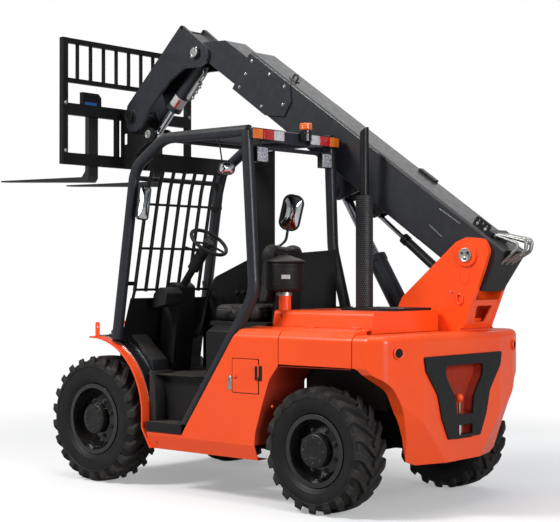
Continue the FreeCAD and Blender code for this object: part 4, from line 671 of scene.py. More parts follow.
# %% Lamps, glass and labels
def make_lens(name, colour, ribs=120.0, depth=0.0012, glow=0.06, faceted=False):
    material, nodes, shader, where = start_material(name)
    if faceted:
        cells = {"Vector": where, "Scale": ribs, "Randomness": 0.85}
        height = nodes.add("TexVoronoi", cells).outputs["Distance"]
        bright = tuple(min(v * 1.15, 1.0) for v in colour[:3]) + (1,)
        base = nodes.mix(nodes.span(height, 0.1, 0.6), bright, dimmed(colour, 0.35))
    else:
        up = nodes.add("SeparateXYZ", {0: where}).outputs["Z"]
        height = nodes.math("SINE", nodes.times(up, ribs * 6.28))
        base = nodes.mix(nodes.clouds(where, (35.0, 3.0, 0.6), 0.35, 0.7), colour, dimmed(colour, 0.72))
    nodes.feed(shader, {"Base Color": base, "Emission Color": base, "Emission Strength": glow,
                        "Normal": nodes.bump(depth, height), "Coat Weight": 0.9, "Coat Roughness": 0.06,
                        "Roughness": nodes.clouds(where, (20.0, 4.0, 0.6), 0.3, 0.8, 0.08, 0.3)})
    return material


AMBER = make_lens("amber_lens", rgb(240, 120, 24))
RED = make_lens("red_lens", rgb(196, 26, 28))
CLEAR = make_lens("clear_lens", rgb(214, 214, 216))
LED = make_lens("led_lens", rgb(196, 198, 206), ribs=85.0, faceted=True, glow=0.1, depth=0.003)
BEACON = make_lens("beacon_dome", rgb(246, 104, 20), ribs=70.0, glow=0.15)


def make_mirror_glass():
    material, nodes, shader, where = start_material("mirror_glass")
    film = nodes.noise(where, 14.0, 5.0, 0.6)
    tone = nodes.mix(nodes.span(film, 0.4, 0.8), rgb(226, 230, 230), rgb(188, 192, 190))
    nodes.feed(shader, {"Base Color": tone, "Roughness": nodes.span(film, 0.4, 0.85, 0.02, 0.16), "Metallic": 1.0})
    return material


MIRROR_GLASS = make_mirror_glass()


def make_label(name, colour, scuffed):
    """A blank printed foil: a plain field, faintly scuffed."""
    material, nodes, shader, where = start_material(name)
    scuffs = nodes.clouds(where, (70.0, 6.0, 0.7), 0.45, 0.75)
    nodes.feed(shader, {"Base Color": nodes.mix(nodes.times(scuffs, 0.6), colour, scuffed),
                        "Roughness": nodes.span(scuffs, 0.0, 1.0, 0.28, 0.6)})
    return material


SILVER_LABEL = make_label("silver_label", rgb(176, 176, 174), rgb(120, 120, 120))
RED_LABEL = make_label("red_stripe", rgb(176, 44, 44), rgb(120, 60, 60))
BLUE_LABEL = make_label("blue_label", rgb(34, 84, 150), rgb(60, 90, 130))
# Painted shade: a near-black moulding that stands for the shade inside sockets and slots.
GAP_SHADE = make_moulded("painted_gap_shade", rgb(9, 9, 10), rough=0.6, dust=0.15)
BOWL = make_moulded("cleaner_bowl", rgb(13, 12, 13), rough=0.5, cells=300.0, dust=0.2)
LID = make_moulded("cleaner_lid", rgb(38, 38, 42), rough=0.35, cells=300.0, dust=0.3)
print("materials", len(bpy.data.materials))

# %% [markdown]
# ## The CAD pieces
#
# A CAD piece whose shape is right keeps its mesh and gets a finish. Where one solid has more
# than one finish, such as the hood with its air cleaner, faces are given another slot of the
# material list by where they are.

# %% Helpers: give a piece its finish and body
def paint_all(piece, *materials):
    piece.data.materials.clear()
    for material in materials:
        piece.data.materials.append(material)
    return piece


def keep(piece, body, slot, *materials):
    """Rides and finish of a piece in one line; the slot argument is not used."""
    if materials:
        paint_all(piece, *materials)
    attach(piece, body)
    return piece


# %% Finish each CAD piece
FINISH = {
    ORANGE: ["rear_counterweight", "left_side_panel", "fuel_door", "right_side_cover", "engine_side_cover",
             "engine_hood", "boom_bracket", "front_fenders"],
    CHARCOAL: ["outer_boom", "boom_head", "inner_boom", "canopy_frame", "canopy_roof", "lift_cylinder_barrel",
               "levelling_cylinder_barrel", "tilt_cylinder_barrel"],
    BLACK: ["chassis_frame", "cab_floor", "front_guard", "carriage_bracket", "fork_carriage", "exhaust_stack",
            "arch_liners", "front_axle", "rear_axle", "steering_knuckle_left", "steering_knuckle_right",
            "hood_louvre", "seat_base", "bumper_insert", "right_wall"],
    RIM: ["rear_rim_left", "rear_rim_right", "front_rim_left", "front_rim_right"],
    CHROME: ["lift_cylinder_rod", "levelling_cylinder_rod", "tilt_cylinder_rod", "tow_pin"],
    FORK: ["forks"],
    CAST: ["engine_block"],
    PLASTIC: ["control_console", "steering_column", "steering_wheel", "mirrors", "roof_lights", "seat_cushion",
              "seat_backrest"],
    ZINC: ["boom_pipes"],
    SIDE_RUBBER: ["rear_tyre_left", "rear_tyre_right", "front_tyre_left", "front_tyre_right"],
}
left = set(NODES)
for material, names in FINISH.items():
    for name in names:
        paint_all(NODES[name], material)
        left.discard(name)
print("no finish yet:", sorted(left))


def repaint(name, material, test):
    """Gives the faces of a CAD piece that pass the test another finish."""
    mesh = NODES[name].data
    mesh.materials.append(material)
    faces = [face for face in mesh.polygons if test(face.center, face.normal)]
    for face in faces:
        face.material_index = len(mesh.materials) - 1
    print(name, material.name, len(faces), "faces")


# %% [markdown]
# ## Tyres
#
# The tyres are the widest rubber surfaces on the machine, and their bars catch the light, so
# each one is modelled. The carcass starts as a circle whose points are moved to the section of
# a tyre: bead, side wall with its moulded rings, shoulder and crown. Spinning that section
# about the axle makes the tyre.

# %% Carcass: a section spun about the axle
def tyre_section(radius, width, rim):
    """Distance from the middle plane and from the axle, from the inner bead round to the outer one."""
    half, rise = width / 2, radius - rim
    # Each pair is the share of the half width, and a height: off the rim, up the wall, or under the crown.
    bead = [(0.70, 0.002), (0.80, 0.004), (0.875, 0.016), (0.90, 0.030), (0.925, 0.034), (0.925, 0.039),
            (0.945, 0.046)]
    wall = [(0.975, 0.38), (0.985, 0.50), (0.962, 0.59), (0.992, 0.61), (0.990, 0.64), (0.948, 0.66),
            (0.925, 0.74)]
    crown = [(0.86, 0.036), (0.76, 0.029), (0.40, 0.026), (0.0, 0.025)]
    right = [(part * half, rim + up) for part, up in bead]
    right += [(part * half, rim + share * rise) for part, share in wall]
    right += [(part * half, radius - under) for part, under in crown]
    return right + [(-a, r) for a, r in reversed(right[:-1])]


def spin_section(name, section, centre):
    """Turns a closed section (distance along the axle, distance from it) into a ring about Y."""
    deselect()
    bpy.ops.mesh.primitive_circle_add(vertices=len(section), radius=1.0)
    piece = named(name)
    for vertex, (along, out) in zip(piece.data.vertices, section):
        vertex.co = (centre.x, centre.y + along, centre.z + out)
    bpy.ops.object.mode_set(mode="EDIT")
    bpy.ops.mesh.select_all(action="SELECT")
    bpy.ops.mesh.spin(steps=72, angle=2 * pi, center=centre, axis=(0, 1, 0))
    bpy.ops.mesh.select_all(action="SELECT")
    bpy.ops.mesh.remove_doubles(threshold=0.00005)
    face_outward()
    return done(piece)


# %% [markdown]
# A tread bar is a box cut into slices. Each slice is moved round the tyre as it goes out from
# the middle, which gives the slant, and the last slices drop over the shoulder. One bar is
# shaped and bevelled, then copied round both sides; the two sides are half a pitch apart.

# %% One tread bar
def tread_bar(name, centre, radius, width, slant, side):
    piece = start_box(name, (-0.5, -0.5, -0.5), (0.5, 0.5, 0.5))
    pick(piece, lambda middle, along: abs(along.x) > 0.9, "EDGE")
    bpy.ops.mesh.subdivide(number_cuts=6)
    done(piece)
    half = width / 2
    #         along the bar: place out from the middle, top, foot, half breadth
    slices = [(-0.03, 0.0, 0.030, 0.015), (0.16, 0.0, 0.030, 0.018), (0.36, 0.0, 0.031, 0.021),
              (0.58, 0.001, 0.033, 0.023), (0.78, 0.003, 0.038, 0.025), (0.90, 0.008, 0.050, 0.026),
              (0.965, 0.017, 0.064, 0.025), (1.0, 0.030, 0.072, 0.023)]
    for vertex in piece.data.vertices:
        step = round((vertex.co.x + 0.5) * 7)
        out, top, foot, breadth = slices[step]
        upper = vertex.co.z > 0
        r = radius - (top if upper else foot)
        flank = breadth if upper else breadth * 1.32
        lean = slant * min(out, 0.92)
        angle = lean + copysign(flank, vertex.co.y) / radius
        shrink = 0.985 if (not upper and step > 5) else 1.0
        vertex.co = centre + Vector((sin(angle) * r, side * out * half * shrink, cos(angle) * r))
    piece.data.update()
    pick(piece, lambda middle, normal: True)
    face_outward()
    return round_edges(done(piece), 0.003, 1, 40)


# %% A whole tyre
def make_tyre(node, body, bars, slant, rim):
    centre = middle(node)
    size = high(node) - low(node)
    radius, width = size.z / 2, size.y
    tyre = spin_section(node + "_carcass", tyre_section(radius, width, rim), centre)
    smooth(tyre, 28)
    paint_all(tyre, SIDE_RUBBER, TREAD_RUBBER)
    for face in tyre.data.polygons:
        if hypot(face.center.x - centre.x, face.center.z - centre.z) > radius - 0.034:
            face.material_index = 1
    made = []
    for side in (1, -1):
        bar = tread_bar(node + "_bar", centre, radius, width, slant, side)
        paint_all(bar, SIDE_RUBBER, TREAD_RUBBER)
        for face in bar.data.polygons:
            face.material_index = 1
        for i in range(bars):
            angle = 2 * pi * (i + (0.5 if side < 0 else 0.0)) / bars
            made.append(copy_piece(bar, f"{node}_bar_{i}", turn_about(centre, (0, 1, 0), angle)))
        bpy.data.objects.remove(bar)
    tread = join_pieces(made, node + "_tread")
    smooth(tread, 30)
    whole = join_pieces([tyre, tread], node + "_rubber")
    for vertex in whole.data.vertices:
        vertex.co.y = centre.y + (vertex.co.y - centre.y) * TYRE_SQUEEZE
    keep(whole, body, "tyre")
    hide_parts(node)
    print(whole.name, len(whole.data.polygons), "faces, radius", round(radius, 3))


TYRE_SQUEEZE = 0.982        # keeps the bars' ends inside the width of the CAD tyre
REAR_RIM, FRONT_RIM = 0.2245, 0.2485
for side in ("left", "right"):
    make_tyre(f"rear_tyre_{side}", f"rear_wheel_{side}", 20, 0.34, REAR_RIM)
    make_tyre(f"front_tyre_{side}", f"front_wheel_{side}", 22, -0.31, FRONT_RIM)

# %% [markdown]
# ## Bolts
#
# Hex bolts hold the collar plates, the hub covers, the pin keepers and the carriage. One bolt is
# modelled: a six-sided head with its edges bevelled, on a round washer. It stands at the origin
# looking up, and each copy is carried to its place and direction by one matrix.

# %% One hex bolt and a row of copies
def hex_bolt(width):
    head = start_round("hex_head", (0, 0, width * 0.10), (0, 0, width * 0.62), width * 0.56, sides=6)
    round_edges(head, width * 0.05, 1, 50)
    washer = start_round("washer", (0, 0, -0.0005), (0, 0, width * 0.14), width * 0.86, sides=20)
    return join_pieces([head, washer], "hex_bolt")


def bolt_up(name, body, places, width=0.02, material=None, slot="bright_steel"):
    """Bolts at (point, direction) pairs, joined into one piece that rides on a body."""
    model = hex_bolt(width)
    made = [copy_piece(model, f"{name}_{i}", place_at(point, way, i * 0.7)) for i, (point, way) in enumerate(places)]
    bpy.data.objects.remove(model)
    return keep(join_pieces(made, name), body, slot, material or ZINC)


def around(radius, count, first=0.0):
    """Steps from the middle of an upright circle to points round it; the first angle in radians."""
    angles = [2 * pi * i / count + first for i in range(count)]
    return [Vector((radius * cos(a), 0, radius * sin(a))) for a in angles]


# %% [markdown]
# ## Wheel centres
#
# Each wheel disc is held by eight nuts round a flat, dark steel hub cover with its own ring of
# small bolts. The cover is a short cylinder whose face is inset four times, to give the raised
# rim, the flat ring that the bolts sit on, and the low boss in the middle.

# %% Hub covers, nuts and valve stems
HUB_BOLT_RING, NUT_RING = 0.078, 0.131
for side, s in SIDES:
    for axle, drop in (("rear", 0.188), ("front", 0.208)):
        wheel = f"{axle}_wheel_{side}"
        centre = pivot(wheel + "_spin")
        out = Vector((0, s, 0))
        face = centre + out * 0.062
        cover = start_round(f"{wheel}_hub_cover", face + out * 0.0145, face + out * 0.052, 0.103, sides=48)
        inset(cover, out, (0.006, 0.003), (0.050, 0.001), (0.008, -0.004), (0.022, 0.003))
        keep(smooth(round_edges(cover, 0.0015), 30), wheel, "cast_iron", HUB_COVER)
        ring = [(face + out * 0.0555 + step, out) for step in around(HUB_BOLT_RING, 8)]
        bolt_up(f"{wheel}_hub_bolts", wheel, ring, 0.0115, HUB_STEEL)
        # The disc is a cone where the nuts sit, so each nut leans outward with it.
        nuts = [(face - out * 0.006 + step, out + step * (0.35 / NUT_RING)) for step in around(NUT_RING, 8, pi / 8)]
        bolt_up(f"{wheel}_nuts", wheel, nuts, 0.021, RIM_NUT)
        stem = start_round(f"{wheel}_valve", face + Vector((0, s * -0.02, -drop)),
                           face + Vector((0, s * 0.028, 0.01 - drop)), 0.006, sides=12, tip_radius=0.004)
        keep(stem, wheel, "bright_steel", ZINC)
print("hub covers and nuts on 4 wheels")

# %% [markdown]
# ## Rear of the machine
#
# The counterweight has a round socket at each corner, inside a raised ring, and its top has a
# small slot for a lifting hook. The ball above the towing jaw is the grip of the tow pin.

# %% Corner sockets
def ring_at(name, point, way, radius, thick):
    deselect()
    bpy.ops.mesh.primitive_torus_add(major_radius=radius, minor_radius=thick, major_segments=40, minor_segments=12)
    piece = named(name)
    piece.data.transform(place_at(point, way))
    return smooth(piece, 60)


def dished_disc(name, point, way, radius, thick, dish=0.35, depth=0.006, sides=32):
    """A flat cap whose face is inset and pushed in."""
    way = Vector(way).normalized()
    piece = start_round(name, Vector(point), Vector(point) + way * thick, radius, sides=sides)
    inset(piece, way, (radius * dish, 0.0), (radius * 0.08, -depth))
    return smooth(round_edges(piece, min(thick * 0.25, 0.0015), 2, 40), 30)


# Painted shade: the near-black disc in each socket stands for the shade inside the hole.
for side, s in SIDES:
    way = Vector((-0.954, 0.299 * s, 0))
    place = at(-0.5335, 0.652 * s, 0.998)
    keep(ring_at(f"socket_ring_{side}", place, way, 0.0325, 0.0065), "machine", "orange_paint", ORANGE)
    disc = dished_disc(f"socket_{side}", place - way * 0.004, way, 0.030, 0.007, 0.12)
    keep(disc, "machine", "black_paint", GAP_SHADE)

# %% Tow pin grip, slot and pockets
grip_foot, grip_top = at(-0.530, 0.0, 0.562), at(-0.538, 0.014, 0.678)
stalk = start_round("tow_pin_stalk", grip_foot, grip_top, 0.0075, sides=16)
keep(smooth(stalk), "machine", "bright_steel", ZINC)
deselect()
bpy.ops.mesh.primitive_uv_sphere_add(segments=28, ring_count=16, radius=0.0255, location=at(-0.540, 0.016, 0.694))
ball = named("tow_pin_grip")
ball.scale = (1.0, 1.0, 1.06)
settle(ball)
pick(ball, lambda middle, normal: normal.z < -0.92)
extrude((0, 0, -0.008))
done(ball)
keep(smooth(ball, 50), "machine", "orange_paint", ORANGE)


def slot_plate(name, centre, half_long, half_wide, depth=0.003):
    """A thin plate with rounded ends: a box with its upright corners bevelled."""
    reach = Vector((half_wide, half_long, 0))
    piece = start_box(name, centre - reach - UP * depth, centre + reach + UP * 0.0008)
    return round_corners(piece, UP, half_wide * 0.95, 5)


# Painted shade: the lifting slot is a thin near-black plate on the top, standing for the shade inside the slot.
slot = slot_plate("lifting_slot", at(-0.455, 0.215, 1.1005), 0.030, 0.0075)
keep(slot, "machine", "black_paint", GAP_SHADE)
plate = slot_plate("louvre_plate", at(-0.258, 0.246, 1.2525), 0.028, 0.008)
keep(plate, "machine", "bright_steel", SILVER_LABEL)

# %% Painted shade: dark tail ends of the boom and darker orange insides
# Painted shade: the boom's tail faces that look back are painted black, as they lie in shade.
repaint("outer_boom", BLACK, lambda middle, normal: (middle - BOOM_PIVOT).dot(BOOM_AXIS) < -0.05
        and normal.dot(BOOM_AXIS) < -0.3)
POCKET_DEEP, POCKET_MOUTH = at(-0.500, 0, 0).x, at(-0.548, 0, 0).x
# Painted shade: the faces inside the counterweight's pocket get the darker orange, as they lie in shade.
repaint("rear_counterweight", ORANGE_PAINTED_SHADE, lambda middle, normal: abs(middle.y - REAR_AXLE.y) < 0.25
        and 0.40 < middle.z < 0.95 and (middle.x > POCKET_DEEP or abs(normal.x) < 0.5) and middle.x > POCKET_MOUTH)
# Painted shade: the counterweight's lower faces that look forward, into the rear arches, get the darker orange.
repaint("rear_counterweight", ORANGE_PAINTED_SHADE, lambda middle, normal: normal.x > 0.3 and middle.z < 0.92)
# Painted shade: the arch liners' faces inside the rear arches get the darker orange, orange paint with its shade
# painted in.
repaint("arch_liners", ORANGE_PAINTED_SHADE, lambda middle, normal: middle.x < at(0.60, 0, 0).x)

# %% [markdown]
# ## Boom pivot
#
# The ears carry the boom's pivot pin. A steel disc with three socket screws keeps the pin in,
# and below it are a grease nipple and a small welded loop for the transport chain.

# %% Pin discs, nipple and loop
LOOP_Z = 1.318
for side, s in SIDES:
    way = Vector((0, s, 0))
    face = beside(BOOM_PIVOT, s * 0.1905)
    disc = start_round(f"pivot_disc_{side}", face - way * 0.006, face + way * 0.004, 0.045, sides=48)
    inset(disc, way, (0.007, 0.0), (0.002, -0.002), (0.020, 0.0), (0.002, -0.002))
    keep(smooth(round_edges(disc, 0.0012)), "boom", "bright_steel", ZINC)
    screws = [dished_disc(f"pivot_screw_{side}_{i}", face + step, way, 0.0085, 0.007, 0.3, 0.005, 18)
              for i, step in enumerate(around(0.024, 3, 0.5))]
    keep(join_pieces(screws, f"pivot_screws_{side}"), "boom", "bright_steel", HUB_STEEL)
    nipple = start_round(f"grease_nipple_{side}", at(-0.390, BOOM_SIDE + s * 0.169, 1.351),
                         at(-0.390, BOOM_SIDE + s * 0.183, 1.351), 0.006, sides=10, tip_radius=0.0035)
    keep(nipple, "machine", "bright_steel", ZINC)
    loop = ring_at(f"chain_loop_{side}", at(-0.450, BOOM_SIDE + s * 0.176, LOOP_Z), way, 0.021, 0.0065)
    modify(loop, "SUBSURF", levels=1, render_levels=1)
    pick(loop, lambda middle, normal: middle.z < LOOP_Z)
    bpy.ops.transform.translate(value=(0, 0, -0.022))
    keep(smooth(done(loop), 60), "machine", "orange_paint", ORANGE)
    pad = start_box(f"ear_pad_{side}", at(-0.520, BOOM_SIDE + s * 0.1695, 1.400),
                    at(-0.452, BOOM_SIDE + s * 0.1725, 1.575))
    keep(smooth(round_corners(pad, LEFT, 0.033, 8)), "machine", "orange_paint", ORANGE)

# %% [markdown]
# ## Boom tail
#
# Six plated pipes come out of a block on top of the boom, turn round its tail and go in behind.
# They are rigid tube, bent to shape, so each is a curve with a round bevel, made a mesh. An
# upright plate with three holes stands beside them.

# %% Rigid pipes
def rigid_pipe(name, corners, radius, bend, sides=4):
    """Straight tube with round bends: each inner corner gets a control point on either side."""
    points = [Vector(corners[0])]
    for before, corner, after in zip(corners, corners[1:], corners[2:]):
        corner = Vector(corner)
        for other in (before, after):
            gap = Vector(other) - corner
            points.append(corner + gap.normalized() * min(bend, gap.length * 0.45))
            if other is before:
                points.append(corner)
    points.append(Vector(corners[-1]))
    deselect()
    bpy.ops.curve.primitive_nurbs_path_add()
    curve = bpy.context.object
    curve.name = name
    curve.data.splines.clear()
    line = curve.data.splines.new("NURBS")
    line.points.add(len(points) - 1)
    for control, point in zip(line.points, points):
        control.co = (*point, 1.0)
    line.order_u = 3
    line.use_endpoint_u = True
    line.resolution_u = 6
    curve.data.bevel_depth = radius
    curve.data.bevel_resolution = sides
    curve.data.use_fill_caps = True
    only(curve)
    bpy.ops.object.convert(target="MESH")
    return smooth(named(name), 50)


PIPE_Z = 0.168              # the boom's top plate, above its axis
pipes = []
for i in range(6):
    side = -0.078 + 0.031 * i
    # Neighbours are bent at different places, and the outer two turn further in.
    tail = low("boom_pipes").x + 0.010 + 0.010 * (i % 2) + (0.034 if i in (0, 5) else 0.0)
    start = on_boom(-0.030, side, PIPE_Z + 0.018)
    top = Vector((tail, start.y, high("boom_pipes").z - 0.052 - 0.014 * (i % 3)))
    below = Vector((tail + 0.006, start.y, low("boom_pipes").z + 0.052 + 0.012 * (i % 2)))
    end = on_boom(-0.192, side, 0.085 - 0.02 * (i % 2))
    pipes.append(rigid_pipe(f"tail_pipe_{i}", [start, top, below, end], 0.0098, 0.040))
    pipes.append(start_round(f"pipe_nut_{i}", on_boom(-0.052, side, PIPE_Z + 0.018),
                             on_boom(-0.068, side, PIPE_Z + 0.016), 0.0125, sides=6))
bundle = join_pieces(pipes, "tail_pipes")
keep(bundle, "boom", "bright_steel", PIPE)
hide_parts("boom_pipes")
print("pipes", [round(v, 3) for v in bundle.dimensions])


def boom_box(name, u, side, over, soft=0.002):
    """A box drawn along the boom: (start, end) along it, sideways and above its axis."""
    piece = start_box(name, (u[0], side[0], over[0]), (u[1], side[1], over[1]))
    basis = Matrix((BOOM_AXIS, (0, 1, 0), BOOM_UP)).transposed().to_4x4()
    piece.data.transform(Matrix.Translation(BOOM_PIVOT) @ basis)
    return round_edges(piece, soft, 2) if soft else piece


block = boom_box("pipe_block", (-0.050, -0.010), (-0.105, 0.105), (PIPE_Z + 0.0005, PIPE_Z + 0.034))
keep(block, "boom", "black_paint", BLACK)
plate = boom_box("tail_plate", (-0.012, 0.118), (0.086, 0.094), (PIPE_Z + 0.0005, PIPE_Z + 0.062), 0)
round_corners(plate, LEFT, 0.02, 4, lambda middle: (middle - BOOM_PIVOT).dot(BOOM_UP) > 0.2)
HOLES = [0.018 + 0.035 * i for i in range(3)]
for u in HOLES:
    drill(plate, on_boom(u, 0.07, PIPE_Z + 0.040), on_boom(u, 0.11, PIPE_Z + 0.040), 0.008, 16)
keep(smooth(plate, 30), "boom", "black_paint", BLACK)
bolt_up("tail_plate_bolts", "boom", [(on_boom(u, 0.094, PIPE_Z + 0.018), LEFT) for u in HOLES[::2]], 0.012)

# %% [markdown]
# ## Boom sides
#
# A collar plate is bolted to each side at the mouth, over the wear pads, and short weld beads
# show where stiffeners are welded on inside. A bead is a rod with rings of points pushed in and
# out, like the ripples that a welder leaves.

# %% Collar bolts, welds and the lifting eye
def weld_bead(name, start, end, radius):
    start, end = Vector(start), Vector(end)
    count = max(8, int((end - start).length / 0.006))
    deselect()
    bpy.ops.mesh.primitive_cylinder_add(vertices=10, radius=radius, depth=1.0)
    piece = named(name)
    pick(piece, lambda middle, along: abs(along.z) > 0.9, "EDGE")
    bpy.ops.mesh.subdivide(number_cuts=count)
    done(piece)
    length = (end - start).length
    for vertex in piece.data.vertices:
        ripple = 1.0 + 0.18 * sin(vertex.co.z * count * 2.1)
        taper = max(0.25, min(1.0, (0.5 - abs(vertex.co.z)) * count * 0.7 + 0.25))
        vertex.co = (vertex.co.x * ripple * taper, vertex.co.y * ripple * taper, vertex.co.z * length)
    piece.data.transform(place_at((start + end) / 2, end - start))
    return smooth(piece, 60)


COLLAR, PLATE = 0.147, 0.1355       # half widths over the collar plates, and over the boom's own sides
SPOTS = ((2.345, 0.118), (2.345, 0.010), (2.345, -0.100), (2.140, 0.122), (2.075, -0.108), (1.965, 0.118),
         (1.905, 0.005))
WELDS = (("upper", (0.165, 0.125), (0.365, 0.118)), ("lower", (0.235, -0.022), (0.370, -0.012)))
for side, s in SIDES:
    bolt_up(f"collar_bolts_{side}", "boom", [(on_boom(u, s * COLLAR, v), (0, s, 0)) for u, v in SPOTS], 0.0135)
    for which, (u0, v0), (u1, v1) in WELDS:
        bead = weld_bead(f"tail_weld_{which}_{side}", on_boom(u0, s * PLATE, v0), on_boom(u1, s * PLATE, v1), 0.0052)
        keep(bead, "boom", "charcoal_paint", WELD)
eye = ring_at("boom_lifting_eye", on_boom(1.990, 0.045, 0.190), LEFT, 0.023, 0.007)
keep(eye, "boom", "charcoal_paint", CHARCOAL)
#         name, along the boom, sideways, above its axis, bevel, finish
BOXES = (("lifting_eye_foot", (1.955, 2.025), (0.020, 0.070), (0.1680, 0.1755), 0.002, "charcoal_paint", CHARCOAL),
         ("boom_clip_0", (1.62, 1.67), (0.060, 0.086), (-0.1600, -0.1435), 0.003, "black_paint", BLACK),
         ("boom_clip_1", (1.18, 1.215), (0.060, 0.086), (-0.1600, -0.1435), 0.003, "black_paint", BLACK),
         ("boom_clip_2", (0.74, 0.785), (0.060, 0.086), (-0.1600, -0.1435), 0.003, "black_paint", BLACK),
         ("boom_top_clamp", (0.62, 0.78), (-0.120, -0.075), (0.1682, 0.186), 0.004, "black_paint", BLACK))
for name, *spans, soft, slot, finish in BOXES:
    keep(boom_box(name, *spans, soft), "boom", slot, finish)
for i, side in enumerate((0.066, 0.082)):
    line = rigid_pipe(f"boom_under_pipe_{i}", [on_boom(u, side, -0.1545) for u in (0.42, 1.20, 1.84)], 0.0055, 0.02)
    keep(line, "boom", "black_paint", BLACK)

# %% [markdown]
# ## Boom head
#
# Each pin of the tilt linkage is held by a plated keeper: a round cap with two ears, and a bolt
# through each ear. The tilt cylinder has a silver label with a red stripe round its lower end, a
# cast port block on its back, and two short pressed pipes.

# %% Pin keepers and the tilt cylinder
def pin_keeper(name, centre, way, radius, roll):
    cap = dished_disc(f"{name}_cap", centre, way, radius, 0.010, 0.22, 0.002, 36)
    across = way.cross(Vector((sin(roll), 0, cos(roll)))).normalized()
    spots = [centre + across * s * radius * 1.02 for s in (1, -1)]
    ears = [start_round(f"{name}_ear", spot, spot + way * 0.007, radius * 0.36, sides=20) for spot in spots]
    pieces = [cap] + [round_edges(ear, 0.001) for ear in ears]
    keep(smooth(join_pieces(pieces, name), 30), "inner_boom", "bright_steel", ZINC)
    bolt_up(f"{name}_bolts", "inner_boom", [(spot + way * 0.007, way) for spot in spots], 0.0125)


for side, s in SIDES:
    way = Vector((0, s, 0))
    pin_keeper(f"tilt_base_keeper_{side}", beside(TILT_BASE, s * 0.1565), way, 0.036, 0.9)
    pin = dished_disc(f"carriage_pin_{side}", beside(CARRIAGE_PIVOT, s * 0.1545), way, 0.046, 0.012, 0.2, 0.003, 40)
    keep(pin, "inner_boom", "black_paint", BLACK)
print("head pins", round(TILT_BASE.x, 3), round(CARRIAGE_PIVOT.x, 3))

TILT_EYE = at(2.500, BOOM_SIDE, 2.566)
TILT_AXIS = (TILT_EYE - TILT_BASE).normalized()
TILT_SIDE = LEFT.cross(TILT_AXIS).normalized()


def on_tilt(along, over=0.0, side=0.0):
    """A point on the tilt cylinder: along it from its barrel's pin, off its back, and to the left."""
    return TILT_BASE + TILT_AXIS * along + TILT_SIDE * over + LEFT * side


SLEEVES = (("label", 0.412, 0.534, 0.0556, SILVER_LABEL), ("gland", 0.5345, 0.546, 0.050, HUB_STEEL))
for part, a, b, radius, finish in SLEEVES:
    sleeve = start_round(f"tilt_{part}", on_tilt(a), on_tilt(b), radius, sides=48)
    keep(smooth(round_edges(sleeve, 0.001)), "tilt_barrel", "charcoal_paint", finish)
stripe = start_round("tilt_label_stripe", on_tilt(0.420), on_tilt(0.526), 0.0559, sides=48)
STRIPE_WAY = (LEFT * 0.75 + TILT_SIDE * 0.66).normalized()
cut_away(stripe, lambda middle, normal: normal.dot(STRIPE_WAY) < 0.968)
modify(stripe, "SOLIDIFY", thickness=0.0008, offset=-1)
keep(stripe, "tilt_barrel", "charcoal_paint", RED_LABEL)

block = start_round("tilt_port_block", on_tilt(0.205, 0.071), on_tilt(0.375, 0.071), 0.027, sides=8)
ports = [round_edges(block, 0.003)]
for a in (0.235, 0.285, 0.340):
    port = start_round("port", on_tilt(a, 0.09), on_tilt(a, 0.108), 0.0115, sides=6)
    ports.append(round_edges(port, 0.001, 1))
keep(join_pieces(ports, "tilt_port_block"), "tilt_barrel", "bright_steel", ZINC)
for i, side in enumerate((-0.018, 0.018)):
    bends = [on_tilt(a, over, side) for a, over in ((0.20, 0.068), (0.13, 0.070), (0.105, 0.050))]
    keep(rigid_pipe(f"tilt_pipe_{i}", bends, 0.0065, 0.02), "tilt_barrel", "bright_steel", ZINC)

# %% Carriage fittings
for side, s in SIDES:
    pin = dished_disc(f"carriage_eye_pin_{side}", beside(TILT_EYE, s * 0.1050), (0, s, 0), 0.032, 0.0042, 0.25, 0.002)
    keep(pin, "carriage", "bright_steel", ZINC)
hook = start_box("fork_hook_block", at(2.8165, 0.008, 2.740), at(2.852, 0.204, 2.887))
CHAMFER_Y = at(0, 0.1, 0).y
round_corners(hook, FORWARD, 0.030, 1, lambda middle: middle.z > 2.8 and middle.y < CHAMFER_Y)
keep(round_edges(hook), "carriage", "black_paint", BLACK)
label = start_box("carriage_label", at(2.8156, 0.058, 2.768), at(2.8168, 0.182, 2.812))
keep(label, "carriage", "black_paint", BLUE_LABEL)
corners = [(at(2.8150, y, z), BACK) for y in (0.375, -0.975) for z in (2.420, 2.790)]
bolt_up("carriage_bolts", "carriage", corners, 0.018)

# %% [markdown]
# ## Lamps on the canopy
#
# Each rear cluster is a black housing with three ribbed lenses: amber outside, red in the
# middle and clear inside. Under it is a square work lamp with a faceted glass. The beacon
# stands on a bracket between the clusters. Together they take the place of the plain lamps.

# %% Clusters, work lamps and beacon
def lens_block(name, a, b, material):
    piece = round_edges(start_box(name, a, b), 0.0035, 3, 50)
    return keep(smooth(piece), "machine", "lamp_plastic", material)


def lamp_housing(name, a, b, wall=0.005, deep=0.010):
    """A box whose rear face is inset and pushed in, so that the lens sits inside a rim."""
    piece = round_corners(start_box(name, a, b), FORWARD, 0.006, 3)
    inset(piece, BACK, (wall, 0.0), (0.0005, -deep))
    return smooth(round_edges(piece, 0.001, 2, 50))


parts = []
